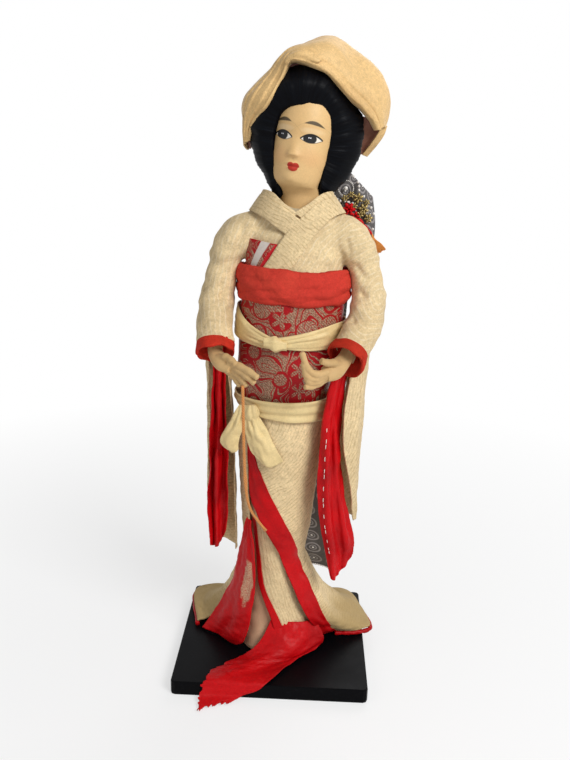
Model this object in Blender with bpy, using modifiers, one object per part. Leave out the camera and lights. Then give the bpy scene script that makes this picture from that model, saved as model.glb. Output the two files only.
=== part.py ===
"""Geisha doll in bridal dress, standing on a black lacquered board.

Every length below is in millimetres. Heights are measured up from the deck, the top
face of the board, and +X is the side of the doll's own left hand, +Y is its back.
"Right" and "left" in a name are the doll's own right and left.
"""
import bpy
import bmesh
from math import cos, exp, pi, radians, sin, sqrt
from mathutils import Matrix, Vector

MM = 0.001

# Fits
GAP = 0.3
CLOTH = 1.0
THICK_CLOTH = 1.2

# Board
BOARD_WIDTH = 130.0
BOARD_DEPTH = 120.0
BOARD_THICKNESS = 10.0
BOARD_EDGE_BEVEL = 0.9
BOARD_CORNER_RADIUS = 3.0

# Stuffed body: height, lean to the doll's left, half width, half depth
LEG_TOP = 56.0
KNEE_HEIGHT = 66.0
KNEE_HALF_WIDTH = 16.4
THIGH_HEIGHT = 120.0
THIGH_HALF_WIDTH = 21.0
HIP_HEIGHT = 155.0
HIP_HALF_WIDTH = 23.6
WAIST_HEIGHT = 176.0
WAIST_HALF_WIDTH = 22.6
RIB_HEIGHT = 217.0
RIB_HALF_WIDTH = 28.7
CHEST_HEIGHT = 252.0
CHEST_HALF_WIDTH = 28.5
BREAST_HEIGHT = 275.0
BREAST_HALF_WIDTH = 29.5
SHOULDER_HEIGHT = 288.0
SHOULDER_HALF_WIDTH = 30.5
NECK_ROOT_HEIGHT = 306.0
NECK_ROOT_RADIUS = 9.5
HIP_HALF_DEPTH = 21.0
RIB_HALF_DEPTH = 21.5
KNEE_HALF_DEPTH = 16.5

# Legs and feet
LEG_RADIUS = 5.5
LEG_SPREAD = 8.5
FOOT_LENGTH = 26.0
FOOT_HEIGHT = 9.0

# Belts and bands
BODICE_BOTTOM = WAIST_HEIGHT
BODICE_TOP = 301.5
OBI_BOTTOM = 182.0
OBI_TOP = 247.0
OBI_THICKNESS = 3.0
OBIAGE_TOP = 266.5
OBIAGE_BULGE = 2.6
OBIJIME_HEIGHT = 227.0
OBIJIME_WIDTH = 10.0
OBIJIME_THICKNESS = 1.6
WAIST_SASH_WIDTH = 12.0
WAIST_SASH_THICKNESS = 1.6
COLLAR_WIDTH = 9.5
UNDER_COLLAR_WIDTH = 7.0
POUCH_EDGE = -17.5
POUCH_WIDTH = 18.0
POUCH_HEIGHT = 15.0
POUCH_THICKNESS = 1.3

# Skirts
HEM_ROLL_RADIUS = 1.6
TRAIN_LEFT_REACH = 71.0
TRAIN_RIGHT_REACH = 63.0
TRAIN_BACK_REACH = 56.0
UNDERSKIRT_HEM = 24.0

# Head
HEAD_SIDES = 22
SKULL_SIDES = 18
SKULL_CLEARANCE = 1.6
HEAD_CENTRE = Vector((9.0, 0.0, 336.0))
HEAD_HALF_WIDTH = 17.7
HEAD_TILT = 6.0
HEAD_TURN = -10.0
NOSE_LENGTH = 3.6
EYE_HEIGHT = 8.0
EYE_SPREAD = 8.5
MOUTH_HEIGHT = -8.5
HAIR_BOTTOM = 311.5
HAIR_TOP = 391.2
HAIR_SIDES = 24

# Ring of facets round the body
AROUND = 18


# Curves and lofts

def curve_point(points, t):
    """A point on the smooth curve through the given points, t from 0 to 1."""
    last = len(points) - 1
    place = min(max(t, 0.0), 1.0) * last
    i = min(int(place), last - 1)
    f = place - i
    p1, p2 = Vector(points[i]), Vector(points[i + 1])
    p0 = Vector(points[i - 1]) if i > 0 else p1 * 2 - p2
    p3 = Vector(points[i + 2]) if i < last - 1 else p2 * 2 - p1
    return 0.5 * (2 * p1 + (p2 - p0) * f + (2 * p0 - 5 * p1 + 4 * p2 - p3) * f * f
                  + (3 * p1 - p0 - 3 * p2 + p3) * f * f * f)


def resample(points, count):
    """Points spread evenly in parameter along the smooth curve."""
    return [curve_point(points, i / (count - 1)) for i in range(count)]


def surface(rows, across, down):
    """A grid of points through a coarse grid of control points."""
    fine = [resample(row, across) for row in rows]
    columns = [resample([row[i] for row in fine], down) for i in range(across)]
    return [[column[j] for column in columns] for j in range(down)]


class Profile:
    """Oval sections by height: centre x, centre y, half width and half depth.

    Sections run straight between the stations, so that every layer built on the
    same profile has its rings at the same heights and stays clear of the next.
    """

    def __init__(self, stations):
        self.stations = sorted(stations)

    def at(self, z):
        rows = self.stations
        if z <= rows[0][0]:
            return rows[0][1:]
        for low, high in zip(rows, rows[1:]):
            if z <= high[0]:
                f = (z - low[0]) / (high[0] - low[0])
                return tuple(p + (q - p) * f for p, q in zip(low[1:], high[1:]))
        return rows[-1][1:]

    def levels(self, low, high, step=1000.0):
        """The two ends and the stations between them, with more rows in spans over step."""
        inside = [row[0] for row in self.stations if low + 1.0 < row[0] < high - 1.0]
        marks = [low] + inside + [high]
        rows = [low]
        for start, end in zip(marks, marks[1:]):
            parts = int((end - start) / step) + 1
            rows += [start + (end - start) * k / parts for k in range(1, parts + 1)]
        return rows

    def point(self, angle, z, out):
        """A point at the given angle in degrees, standing off the section by out."""
        cx, cy, a, b = self.at(z)
        return Vector((cx + (a + out) * cos(radians(angle)),
                       cy + (b + out) * sin(radians(angle)), z))

    def front(self, x, z, out):
        """The front point of the section at a given x."""
        cx, cy, a, b = self.at(z)
        across = min(max((x - cx) / (a + out), -0.999), 0.999)
        return Vector((x, cy - (b + out) * sqrt(1 - across * across), z))


BODY = Profile([
    (LEG_TOP, -1.0, 4.0, KNEE_HALF_WIDTH - 1.5, KNEE_HALF_DEPTH - 1.0),
    (KNEE_HEIGHT, -1.0, 3.5, KNEE_HALF_WIDTH, KNEE_HALF_DEPTH),
    (90.0, 0.0, 3.0, (KNEE_HALF_WIDTH + THIGH_HALF_WIDTH) / 2, (KNEE_HALF_DEPTH + 19.0) / 2),
    (THIGH_HEIGHT, 0.5, 2.0, THIGH_HALF_WIDTH, 19.0),
    (HIP_HEIGHT, 1.6, 1.0, HIP_HALF_WIDTH, HIP_HALF_DEPTH - 1.0),
    (WAIST_HEIGHT, 2.7, 0.0, WAIST_HALF_WIDTH, HIP_HALF_DEPTH - 1.6),
    (OBI_BOTTOM + 1.5, 2.9, 0.0, WAIST_HALF_WIDTH + 1.8, HIP_HALF_DEPTH),
    (RIB_HEIGHT, 5.2, 0.0, RIB_HALF_WIDTH, RIB_HALF_DEPTH),
    (CHEST_HEIGHT, 7.3, 0.0, CHEST_HALF_WIDTH, RIB_HALF_DEPTH - 0.5),
    (BREAST_HEIGHT, 7.5, 0.5, BREAST_HALF_WIDTH, RIB_HALF_DEPTH - 3.5),
    (SHOULDER_HEIGHT, 7.5, 1.5, SHOULDER_HALF_WIDTH, 16.0),
    (297.0, 8.0, 2.5, SHOULDER_HALF_WIDTH - 1.0, 13.5),
    (302.0, 8.5, 3.0, SHOULDER_HALF_WIDTH - 5.5, 11.0),
    (NECK_ROOT_HEIGHT, 10.0, 3.0, NECK_ROOT_RADIUS, 8.0),
])

# Layers over the body, each one clear of the layer under it
WRAP_GAP = 3 * GAP
BODICE_OUT = GAP
INNER_SKIRT_OUT = GAP
UNDERSKIRT_OUT = INNER_SKIRT_OUT + CLOTH + WRAP_GAP
OUTER_SKIRT_OUT = UNDERSKIRT_OUT + CLOTH + WRAP_GAP
OBI_OUT = BODICE_OUT + THICK_CLOTH + GAP
BAND_OUT = OBI_OUT + OBI_THICKNESS + GAP
SASH_OUT = OUTER_SKIRT_OUT + THICK_CLOTH + WRAP_GAP


# Objects and materials

def clear_scene():
    for thing in list(bpy.data.objects):
        bpy.data.objects.remove(thing, do_unlink=True)


def make_collection(name):
    group = bpy.data.collections.new(name)
    bpy.context.scene.collection.children.link(group)
    return group


def linear(hex_colour):
    values = [int(hex_colour[i:i + 2], 16) / 255 for i in (0, 2, 4)]
    return [v / 12.92 if v <= 0.04045 else ((v + 0.055) / 1.055) ** 2.4 for v in values] + [1.0]


def finish_of(name, hex_colour, roughness, metallic=0.0):
    made = bpy.data.materials.get(name)
    if made:
        return made
    made = bpy.data.materials.new(name)
    made.use_nodes = True
    shader = made.node_tree.nodes["Principled BSDF"]
    shader.inputs["Base Color"].default_value = linear(hex_colour)
    shader.inputs["Roughness"].default_value = roughness
    shader.inputs["Metallic"].default_value = metallic
    return made


FINISHES = {
    "lacquer": ("0A0A0E", 0.15, 0.0),
    "padding": ("C8B898", 0.95, 0.0),
    "skin": ("D9B584", 0.6, 0.0),
    "hair": ("0B0B0E", 0.35, 0.0),
    "cream": ("DFC796", 0.85, 0.0),
    "hood": ("E3C088", 0.6, 0.0),
    "red": ("D10A12", 0.5, 0.0),
    "brocade": ("B8101A", 0.55, 0.0),
    "orange": ("C8392B", 0.8, 0.0),
    "grey": ("55504F", 0.6, 0.2),
    "blush": ("E0C0A0", 0.8, 0.0),
    "cord": ("D08A4E", 0.8, 0.0),
    "russet": ("7A4030", 0.8, 0.0),
}


def add_object(name, mesh, finish, group, smooth=True):
    made = bpy.data.objects.new(name, mesh)
    group.objects.link(made)
    colour, roughness, metallic = FINISHES[finish]
    mesh.materials.append(finish_of(name + "_finish", colour, roughness, metallic))
    if smooth:
        mesh.shade_smooth()
        mesh.set_sharp_from_angle(angle=radians(50))
    return made


def lifted(point):
    """From doll millimetres above the deck to metres above the table."""
    return Vector((point[0], point[1], point[2] + BOARD_THICKNESS)) * MM


def grid_mesh(name, rows, ring=False, start_cap=False, end_cap=False):
    """Quads between rows of points; a ring row closes on itself, a cap closes an end."""
    form = bmesh.new()
    lines = [[form.verts.new(lifted(p)) for p in row] for row in rows]
    across = len(lines[0])
    for low, high in zip(lines, lines[1:]):
        for i in range(across if ring else across - 1):
            j = (i + 1) % across
            form.faces.new((low[i], low[j], high[j], high[i]))
    for wanted, line, turned in ((start_cap, lines[0], True), (end_cap, lines[-1], False)):
        if not wanted:
            continue
        middle = sum((v.co for v in line), Vector()) / across
        hub = form.verts.new(middle)
        for i in range(across):
            j = (i + 1) % across
            form.faces.new((line[j], line[i], hub) if turned else (line[i], line[j], hub))
    if start_cap and end_cap:
        bmesh.ops.recalc_face_normals(form, faces=form.faces)
    mesh = bpy.data.meshes.new(name)
    form.to_mesh(mesh)
    form.free()
    return mesh


def solid_loft(name, rings, finish, group):
    """A closed solid through rings of points that run counter-clockwise seen from the end."""
    return add_object(name, grid_mesh(name, rings, True, True, True), finish, group)


def sheet(name, rows, thickness, finish, group, ring=False, side=1.0):
    """Cloth of one thickness on an open grid of points, thickened to its outer side."""
    made = add_object(name, grid_mesh(name, rows, ring), finish, group)
    wall = made.modifiers.new("cloth", "SOLIDIFY")
    wall.thickness = thickness * MM
    wall.offset = side
    wall.use_even_offset = False
    return made


def tube(name, points, radius, finish, group):
    """A round cord or rod along a smooth route."""
    line = bpy.data.curves.new(name, "CURVE")
    line.dimensions = "3D"
    line.bevel_depth = radius * MM
    line.bevel_resolution = 2
    line.use_fill_caps = True
    route = line.splines.new("POLY")
    route.points.add(len(points) - 1)
    for i, point in enumerate(points):
        route.points[i].co = (*lifted(point), 1.0)
    made = bpy.data.objects.new(name, line)
    group.objects.link(made)
    colour, roughness, metallic = FINISHES[finish]
    line.materials.append(finish_of(name + "_finish", colour, roughness, metallic))
    return made


def frame_along(points):
    """Directions along a route, with a side direction that turns as little as it can."""
    frames = []
    side = None
    for i, point in enumerate(points):
        ahead = Vector(points[min(i + 1, len(points) - 1)]) - Vector(points[max(i - 1, 0)])
        ahead.normalize()
        if side is None:
            side = Vector((0, 1, 0)).cross(ahead).normalized()
        side = (side - ahead * side.dot(ahead)).normalized()
        frames.append((Vector(point), side, ahead.cross(side)))
    return frames


def pipe_rings(points, radii, sides):
    """Oval rings along a route; each radius pair is across and along the side direction."""
    rings = []
    for (centre, side, over), (wide, deep) in zip(frame_along(points), radii):
        ring = []
        for i in range(sides):
            angle = 2 * pi * i / sides
            ring.append(centre + side * (wide * cos(angle)) + over * (deep * sin(angle)))
        rings.append(ring)
    return rings


def cut_away(target, cutter, operation="DIFFERENCE"):
    cut = target.modifiers.new("cut", "BOOLEAN")
    cut.object = cutter
    cut.operation = operation
    cut.solver = "EXACT"


def as_cutter(made):
    made.hide_render = True
    made.display_type = "WIRE"
    return made


# Board, legs and stuffed body

def make_board(group):
    bpy.ops.mesh.primitive_cube_add(size=1.0)
    made = bpy.context.active_object
    made.name = "base_board"
    for owner in list(made.users_collection):
        owner.objects.unlink(made)
    group.objects.link(made)
    size = Vector((BOARD_WIDTH, BOARD_DEPTH, BOARD_THICKNESS)) * MM
    middle = Vector((0, 0, BOARD_THICKNESS / 2)) * MM
    made.data.transform(Matrix.Translation(middle) @ Matrix.Diagonal((*size, 1.0)))
    upright = made.data.attributes.new("bevel_weight_edge", "FLOAT", "EDGE")
    for edge in made.data.edges:
        ends = [made.data.vertices[i].co for i in edge.vertices]
        upright.data[edge.index].value = 1.0 if abs(ends[0].z - ends[1].z) > 0.5 * size.z else 0.0
    corners = made.modifiers.new("corners", "BEVEL")
    corners.width = BOARD_CORNER_RADIUS * MM
    corners.segments = 2
    corners.limit_method = "WEIGHT"
    edges = made.modifiers.new("edges", "BEVEL")
    edges.width = BOARD_EDGE_BEVEL * MM
    edges.segments = 2
    edges.limit_method = "ANGLE"
    edges.angle_limit = radians(60)
    colour, roughness, metallic = FINISHES["lacquer"]
    made.data.materials.append(finish_of("base_board_finish", colour, roughness, metallic))


def make_leg(name, x, group):
    """A wrapped leg that ends in a socked foot, sole down on the deck."""
    toe = -FOOT_LENGTH * 0.62
    heel = FOOT_LENGTH * 0.38
    sole = GAP
    route = [(x, toe, sole + 2.2), (x, toe * 0.75, sole + 3.0), (x, toe * 0.3, sole + 4.0),
             (x, heel * 0.55, sole + FOOT_HEIGHT * 0.55), (x, heel * 0.35, sole + FOOT_HEIGHT * 1.5),
             (x, 4.0, LEG_TOP * 0.6), (x, 4.0, LEG_TOP - GAP)]
    radii = [(2.4, 1.7), (4.2, 2.7), (4.6, 3.7), (4.4, 4.2), (4.2, 4.6),
             (LEG_RADIUS, LEG_RADIUS), (LEG_RADIUS, LEG_RADIUS)]
    rings = pipe_rings(route, radii, 8)
    for ring in rings:
        for point in ring:
            point.z = max(point.z, sole)
    for point in rings[-1]:
        point.z = LEG_TOP - GAP
    solid_loft(name, rings, "padding", group)


def body_rings(low, high, out, profile=BODY, around=AROUND):
    """Rings round a profile, standing off it by out."""
    return [[profile.point(360 * i / around, z, out) for i in range(around)]
            for z in profile.levels(low, high)]


def ring_wall(name, rows, thick_rows, finish, group):
    """A closed ring of cloth between an inner and an outer set of rings."""
    form_rings(name, thick_rows + rows[::-1] + thick_rows[:1], finish, group)


def profile_wall(name, low, high, out, thickness, finish, group, profile=None):
    """A ring of cloth of one radial thickness that follows the body."""
    profile = profile or BODY
    ring_wall(name, body_rings(low, high, out, profile),
              body_rings(low, high, out + thickness, profile), finish, group)


def make_body(group):
    rings = body_rings(LEG_TOP, NECK_ROOT_HEIGHT - GAP, 0.0, around=AROUND // 2)
    solid_loft("body_core", rings, "padding", group)
    profile_wall("kimono_bodice", BODICE_BOTTOM, BODICE_TOP, BODICE_OUT, THICK_CLOTH, "cream", group)


# Belts over the bodice

def make_belts(group):
    profile_wall("obi", OBI_BOTTOM, OBI_TOP, OBI_OUT, OBI_THICKNESS, "brocade", group)
    make_obiage(group)
    low = OBIJIME_HEIGHT - OBIJIME_WIDTH / 2
    rows = []
    for share in (0.0, 1.0):
        row = []
        for i in range(AROUND):
            angle = 360 * i / AROUND
            slant = 3.5 * cos(radians(angle - 20))
            z = low + slant + OBIJIME_WIDTH * share
            row.append(BODY.point(angle, z, BAND_OUT + 0.25))
        rows.append(row)
    sheet("obijime_band", rows, OBIJIME_THICKNESS, "cream", group, ring=True)
    make_obijime_knot(group)


def obiage_out(share):
    """How far the crushed silk band stands off the body, by its share of height."""
    return OBI_OUT + GAP + 1.4 + OBIAGE_BULGE * sqrt(max(0.0, 1 - (2 * share - 1) ** 2))


def make_obiage(group):
    """The crushed silk band over the top edge of the obi."""
    low = OBI_TOP + GAP
    outer = []
    for share in (0.0, 0.12, 0.38, 0.62, 0.88, 1.0):
        z = low + (OBIAGE_TOP - low) * share
        outer.append([BODY.point(360 * i / AROUND, z, obiage_out(share)) for i in range(AROUND)])
    ring_wall("obiage", body_rings(low, OBIAGE_TOP, OBI_OUT), outer, "orange", group)


def form_rings(name, rows, finish, group):
    """A ring-shaped solid: the last row closes on the first."""
    form = bmesh.new()
    lines = [[form.verts.new(lifted(p)) for p in row] for row in rows[:-1]]
    lines.append(lines[0])
    across = len(lines[0])
    for low, high in zip(lines, lines[1:]):
        for i in range(across):
            j = (i + 1) % across
            form.faces.new((low[i], low[j], high[j], high[i]))
    bmesh.ops.recalc_face_normals(form, faces=form.faces)
    mesh = bpy.data.meshes.new(name)
    form.to_mesh(mesh)
    form.free()
    return add_object(name, mesh, finish, group)


def ball_rings(centre, radii, rows, sides, turn=None):
    """Rings of an oval ball, poles up and down, turned about its centre if asked."""
    turn = turn or Matrix.Identity(3)
    rings = []
    for k in range(1, rows):
        lat = -pi / 2 + pi * k / rows
        ring = []
        for i in range(sides):
            lon = 2 * pi * i / sides
            point = Vector((radii[0] * cos(lat) * cos(lon), radii[1] * cos(lat) * sin(lon),
                            radii[2] * sin(lat)))
            ring.append(Vector(centre) + turn @ point)
        rings.append(ring)
    return rings


def make_obijime_knot(group):
    face = BODY.front(-2.5, OBIJIME_HEIGHT - 2.5, BAND_OUT + OBIJIME_THICKNESS + GAP + 0.5)
    centre = face + Vector((0, -2.6, 0))
    solid_loft("obijime_knot", ball_rings(centre, (6.3, 2.4, 4.3), 6, 12), "cream", group)


def make_waist_sash(group):
    """A slanting soft sash under the obi, wider on the doll's left."""
    top = OBI_BOTTOM - 3 * GAP
    rows = []
    for share in (0.0, 1.0):
        row = []
        for i in range(AROUND):
            angle = 360 * i / AROUND
            width = WAIST_SASH_WIDTH * (0.68 + 0.32 * cos(radians(angle + 20)))
            row.append(BODY.point(angle, top - width * (1 - share), SASH_OUT))
        rows.append(row)
    sheet("waist_sash", rows, WAIST_SASH_THICKNESS, "cream", group, ring=True)


# Collars and pouch

COLLAR = Profile([row for row in BODY.stations if row[0] <= SHOULDER_HEIGHT] + [
    (297.0, 8.0, 2.0, 28.8, 16.6),
    (304.0, 8.0, 2.5, 23.8, 16.4),
    (311.0, 8.0, 3.0, 19.5, 15.5),
    (318.0, 8.5, 4.0, 17.5, 14.5),
])
UNDER_COLLAR_OUT = BODICE_OUT + THICK_CLOTH + 3 * GAP
COLLAR_OUT = UNDER_COLLAR_OUT + CLOTH + 3 * GAP
COLLAR_LAP = CLOTH + 2 * GAP


def collar_band(name, route, width, out, lap, finish, group):
    """A neck band through (angle, height) places, lapping outwards towards its end."""
    count = 27
    middle = resample([(angle, z, 0.0) for angle, z in route], count)
    rows = [[], [], []]
    for i, place in enumerate(middle):
        ahead = middle[min(i + 1, count - 1)] - middle[max(i - 1, 0)]
        arc = ahead.x * pi / 180 * 20.0
        length = sqrt(arc * arc + ahead.y * ahead.y)
        stand = out + lap * max(0.0, 1.0 - abs(i / (count - 1) - 0.84) / 0.14) ** 0.5
        for k, share in enumerate((-0.5, 0.0, 0.5)):
            angle = place.x + width * share * ahead.y / length / 20.0 * 180 / pi
            z = place.y - width * share * arc / length
            rows[k].append(COLLAR.point(angle, z, stand))
    sheet(name, rows, CLOTH, finish, group, side=-1.0)


def make_collars(group):
    under = [(-95.0, 298.0), (-112.0, 303.0), (-138.0, 309.0), (-175.0, 309.5), (-225.0, 306.0),
             (-270.0, 304.0), (-315.0, 306.0), (-365.0, 309.5), (-402.0, 309.0), (-430.0, 303.0),
             (-446.0, 298.5)]
    collar_band("under_collar", under, UNDER_COLLAR_WIDTH, UNDER_COLLAR_OUT, 0.0, "cream", group)
    over = [(-79.0, 288.0), (-98.0, 294.5), (-124.0, 302.0), (-165.0, 305.5), (-215.0, 303.5),
            (-270.0, 301.0), (-325.0, 303.5), (-373.0, 305.5), (-410.0, 302.5), (-434.0, 295.5),
            (-455.0, 286.0), (-472.0, 276.0)]
    collar_band("outer_collar", over, COLLAR_WIDTH, COLLAR_OUT, COLLAR_LAP, "cream", group)


def make_pouch(group):
    """A flat brocade case tucked into the dress above the crushed band."""
    low = OBIAGE_TOP + GAP
    rows = []
    for down in (0.0, 0.5, 1.0):
        row = []
        for k in range(6):
            share = k / 5
            x = POUCH_EDGE + POUCH_WIDTH * share * (1.0 - 0.42 * (1 - down))
            z = low + POUCH_HEIGHT * down * (1.0 - 0.12 * share)
            row.append(BODY.front(x, z, UNDER_COLLAR_OUT))
        rows.append(row)
    sheet("pouch", rows, POUCH_THICKNESS, "brocade", group)


# Skirts

LEGS_CENTRE = -1.0

LOW_BODY = Profile([
    (-1.0, -1.0, 1.0, 22.5, 24.5),
    (30.0, -1.5, 3.0, 19.0, 19.8),
    (KNEE_HEIGHT, -1.0, 3.5, KNEE_HALF_WIDTH, KNEE_HALF_DEPTH),
] + [row for row in BODY.stations if KNEE_HEIGHT < row[0] <= RIB_HEIGHT])

UNDER_PROFILE = Profile([
    (10.0, 2.5, 2.0, 28.0, 25.0),
    (30.0, 1.5, 2.6, 23.0, 21.6),
    (46.0, 0.0, 3.3, 18.6, 18.9),
] + [row for row in LOW_BODY.stations if row[0] >= KNEE_HEIGHT])

OVERLAP_EDGE = [(WAIST_HEIGHT + 1.7, -131.0), (149.0, -127.0), (137.0, -119.0), (116.0, -97.5),
                (96.0, -74.0), (74.0, -44.0), (66.0, -36.0)]
BORDER_EDGE = [(WAIST_HEIGHT + 1.7, -137.0), (149.0, -136.0), (137.0, -134.6), (116.0, -133.0),
               (96.0, -112.0), (74.0, -80.0), (66.0, -72.0)]
UNDER_EDGE = [(WAIST_HEIGHT + 1.7, -128.0), (96.0, -128.0), (80.0, -122.0), (50.0, -110.0),
              (28.0, -86.0), (20.0, -80.0)]


def along(table, z):
    """Angle of a slanting edge at a height, straight between its points."""
    rows = sorted(table)
    if z <= rows[0][0]:
        return rows[0][1]
    for low, high in zip(rows, rows[1:]):
        if z <= high[0]:
            return low[1] + (high[1] - low[1]) * (z - low[0]) / (high[0] - low[0])
    return rows[-1][1]


def make_inner_skirt(group):
    profile_wall("inner_skirt", GAP + 0.2, BODICE_BOTTOM - 2 * GAP, INNER_SKIRT_OUT, CLOTH,
                 "blush", group, LOW_BODY)


def make_underskirt(group):
    rows = []
    for z in UNDER_PROFILE.levels(UNDERSKIRT_HEM, BODICE_BOTTOM - 2 * GAP, 31.0):
        start = along(UNDER_EDGE, z)
        rows.append([UNDER_PROFILE.point(start + (212.0 - start) * i / 17, z, UNDERSKIRT_OUT)
                     for i in range(18)])
    sheet("underskirt", rows, CLOTH, "cream", group)
    rows = []
    for z in UNDER_PROFILE.levels(UNDERSKIRT_HEM + 2.0, 96.0):
        end = along(UNDER_EDGE, z) - 1.5
        width = 7.0 + (96.0 - z) * 0.07
        rows.append([UNDER_PROFILE.point(end - width + width * i / 2, z, UNDERSKIRT_OUT)
                     for i in range(3)])
    sheet("underskirt_border", rows, CLOTH, "red", group)


def skirt_row(z, start, end, count):
    return [LOW_BODY.point(start + (end - start) * i / (count - 1), z, OUTER_SKIRT_OUT)
            for i in range(count)]


def make_outer_skirt(group):
    """The wrapped outer skirt: close round the legs, then spread over the board."""
    count = 17
    rows = []
    for z in LOW_BODY.levels(KNEE_HEIGHT, OBI_BOTTOM - 3 * GAP, 16.0):
        start = along(OVERLAP_EDGE, z)
        end = 222.0 - 20.0 * max(0.0, (96.0 - z) / 30.0)
        rows.append(skirt_row(z, start, end, count))
    right, left, back = TRAIN_LEFT_REACH, TRAIN_RIGHT_REACH, TRAIN_BACK_REACH
    middle = [(33.5, -15.0, 29.0), (40.5, -9.0, 29.0), (45.0, 4.0, 30.0), (42.0, 17.0, 32.0),
              (32.0, 28.0, 32.0), (14.0, 32.0, 32.0), (-8.0, 32.0, 32.0), (-26.0, 27.0, 31.0),
              (-35.0, 17.0, 30.0), (-35.0, 6.0, 29.0)]
    low = [(41.0, -7.0, 12.0), (52.0, -3.0, 11.0), (60.0, 8.0, 11.0), (57.0, 24.0, 11.0),
           (46.0, 40.0, 11.0), (20.0, 42.0, 11.0), (-10.0, 42.0, 11.0), (-40.0, 40.0, 10.0),
           (-51.0, 24.0, 10.0), (-47.0, 5.0, 10.0)]
    hem_height = 2 * HEM_ROLL_RADIUS + 3 * GAP
    hem = [(44.5, 0.0), (60.0, 2.0), (right, 9.5), (right - 7.0, 34.0), (right - 18.0, back),
           (24.0, back), (-12.0, back), (-40.0, back), (-left, back - 10.0), (-left + 7.0, 4.0)]
    hem = [(x, y, hem_height) for x, y in hem]
    bottom = surface([hem, low, middle], count, 5)[:-1]
    last = surface([low, middle, [tuple(p) for p in resample(rows[0], 10)]], count, 5)[2:4]
    sheet("outer_skirt", bottom + last + rows, THICK_CLOTH, "cream", group)
    make_hem_roll(hem, group)
    make_front_border(rows[0][0], middle[0], low[0], hem[0], group)


def make_hem_roll(hem, group):
    """The padded red roll that edges the train, lying on the deck under the cloth."""
    height = GAP + HEM_ROLL_RADIUS
    points = [(p.x, p.y, height) for p in resample(hem, 17)]
    tube("hem_roll", points, HEM_ROLL_RADIUS, "red", group)


def make_front_border(knee, middle, low, hem, group):
    """The red facing turned out along the overlap, from the waist to the deck."""
    rows = []
    lower = [(hem[0] - 3.0, hem[1] - 1.5, hem[2] + 2.0), (low[0] - 1.4, low[1] - 0.4, low[2]),
             (middle[0] - 1.2, middle[1] - 0.9, middle[2])]
    inner = [(hem[0] - 9.0, hem[1] - 7.0, hem[2] + 3.0), (low[0] - 9.0, low[1] - 6.5, low[2] + 4.0),
             (middle[0] - 11.5, middle[1] - 6.5, middle[2] + 3.0)]
    for a, b in zip(lower, inner):
        rows.append(resample([b, a], 4))
    for z in LOW_BODY.levels(KNEE_HEIGHT - 12.0, OBI_BOTTOM - 3 * GAP, 16.0):
        end = along(OVERLAP_EDGE, z) - 1.2
        start = along(BORDER_EDGE, z)
        out = OUTER_SKIRT_OUT + (1.6 if z < KNEE_HEIGHT else 0.0)
        rows.append([LOW_BODY.point(start + (end - start) * i / 3, z, out)
                     for i in range(4)])
    sheet("front_border", rows, CLOTH, "red", group)


def make_lining_panel(group):
    """The right front panel folded back, red lining out, its corner on the deck."""
    rows = [[(-50.5, 0.5, 1.2), (-42.0, -5.5, 1.2), (-34.0, -12.0, 1.2), (-25.5, -19.0, 1.2)],
            [(-43.5, 0.0, 14.0), (-36.5, -9.0, 13.0), (-29.0, -18.0, 12.0), (-20.0, -27.0, 10.0)],
            [(-35.0, -1.5, 30.0), (-30.0, -12.5, 29.0), (-23.5, -21.5, 29.0), (-15.0, -28.0, 29.0)],
            [(-27.5, -4.5, 52.0), (-24.0, -13.5, 52.0), (-18.8, -20.5, 52.0), (-12.5, -24.6, 52.0)],
            [(-22.5, -10.5, 76.0), (-20.5, -14.5, 76.0), (-17.5, -18.5, 76.0), (-13.5, -21.6, 76.0)],
            [(-19.0, -17.5, 96.0), (-18.2, -18.3, 96.0), (-17.4, -19.1, 96.0), (-16.4, -20.0, 96.0)]]
    sheet("lining_panel", surface(rows, 5, 9), CLOTH, "red", group)


def make_red_train(group):
    """The long red under-robe that runs forward over the deck and down its front edge."""
    edge = -BOARD_DEPTH / 2
    drop = -BOARD_THICKNESS
    flat = GAP + 0.5
    rows = [[(0.0, -25.5, 21.5), (12.0, -25.0, 19.5), (22.0, -22.5, 18.5), (31.0, -17.0, 18.0)],
            [(-9.0, -28.0, 10.0), (7.0, -31.0, 11.0), (22.0, -26.5, 8.0), (36.0, -16.0, 9.0)],
            [(-20.5, -30.0, flat), (-4.0, -36.0, flat + 3.5), (14.0, -32.0, flat), (33.0, -18.0, flat + 2.0)],
            [(-31.0, -40.0, flat), (-16.0, -42.0, flat + 3.0), (0.0, -40.0, flat), (19.0, -32.0, flat + 2.0)],
            [(-39.0, -49.0, flat), (-25.0, -50.0, flat + 2.2), (-9.0, -49.0, flat), (8.5, -45.0, flat + 1.5)],
            [(-42.5, edge + 1.5, flat + 0.3), (-29.0, edge + 1.0, flat + 1.0),
             (-14.0, edge + 1.0, flat + 0.3), (-1.0, edge + 1.5, flat + 0.5)],
            [(-44.0, edge - 1.6, -2.5), (-32.0, edge - 1.6, -2.5),
             (-19.0, edge - 1.6, -2.3), (-7.0, edge - 1.6, -2.3)],
            [(-44.5, edge - 5.0, drop + 3.5), (-35.5, edge - 4.0, drop + 3.5),
             (-25.5, edge - 3.2, drop + 3.6), (-16.0, edge - 2.4, drop + 4.2)],
            [(-44.0, edge - 11.0, drop + 1.7), (-38.5, edge - 9.5, drop + 1.7),
             (-32.0, edge - 8.0, drop + 1.7), (-25.0, edge - 6.5, drop + 1.8)]]
    sheet("red_train", surface(rows, 7, 15), CLOTH * 0.8, "red", group, side=-1.0)


# Sleeves, arms and hands

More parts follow.
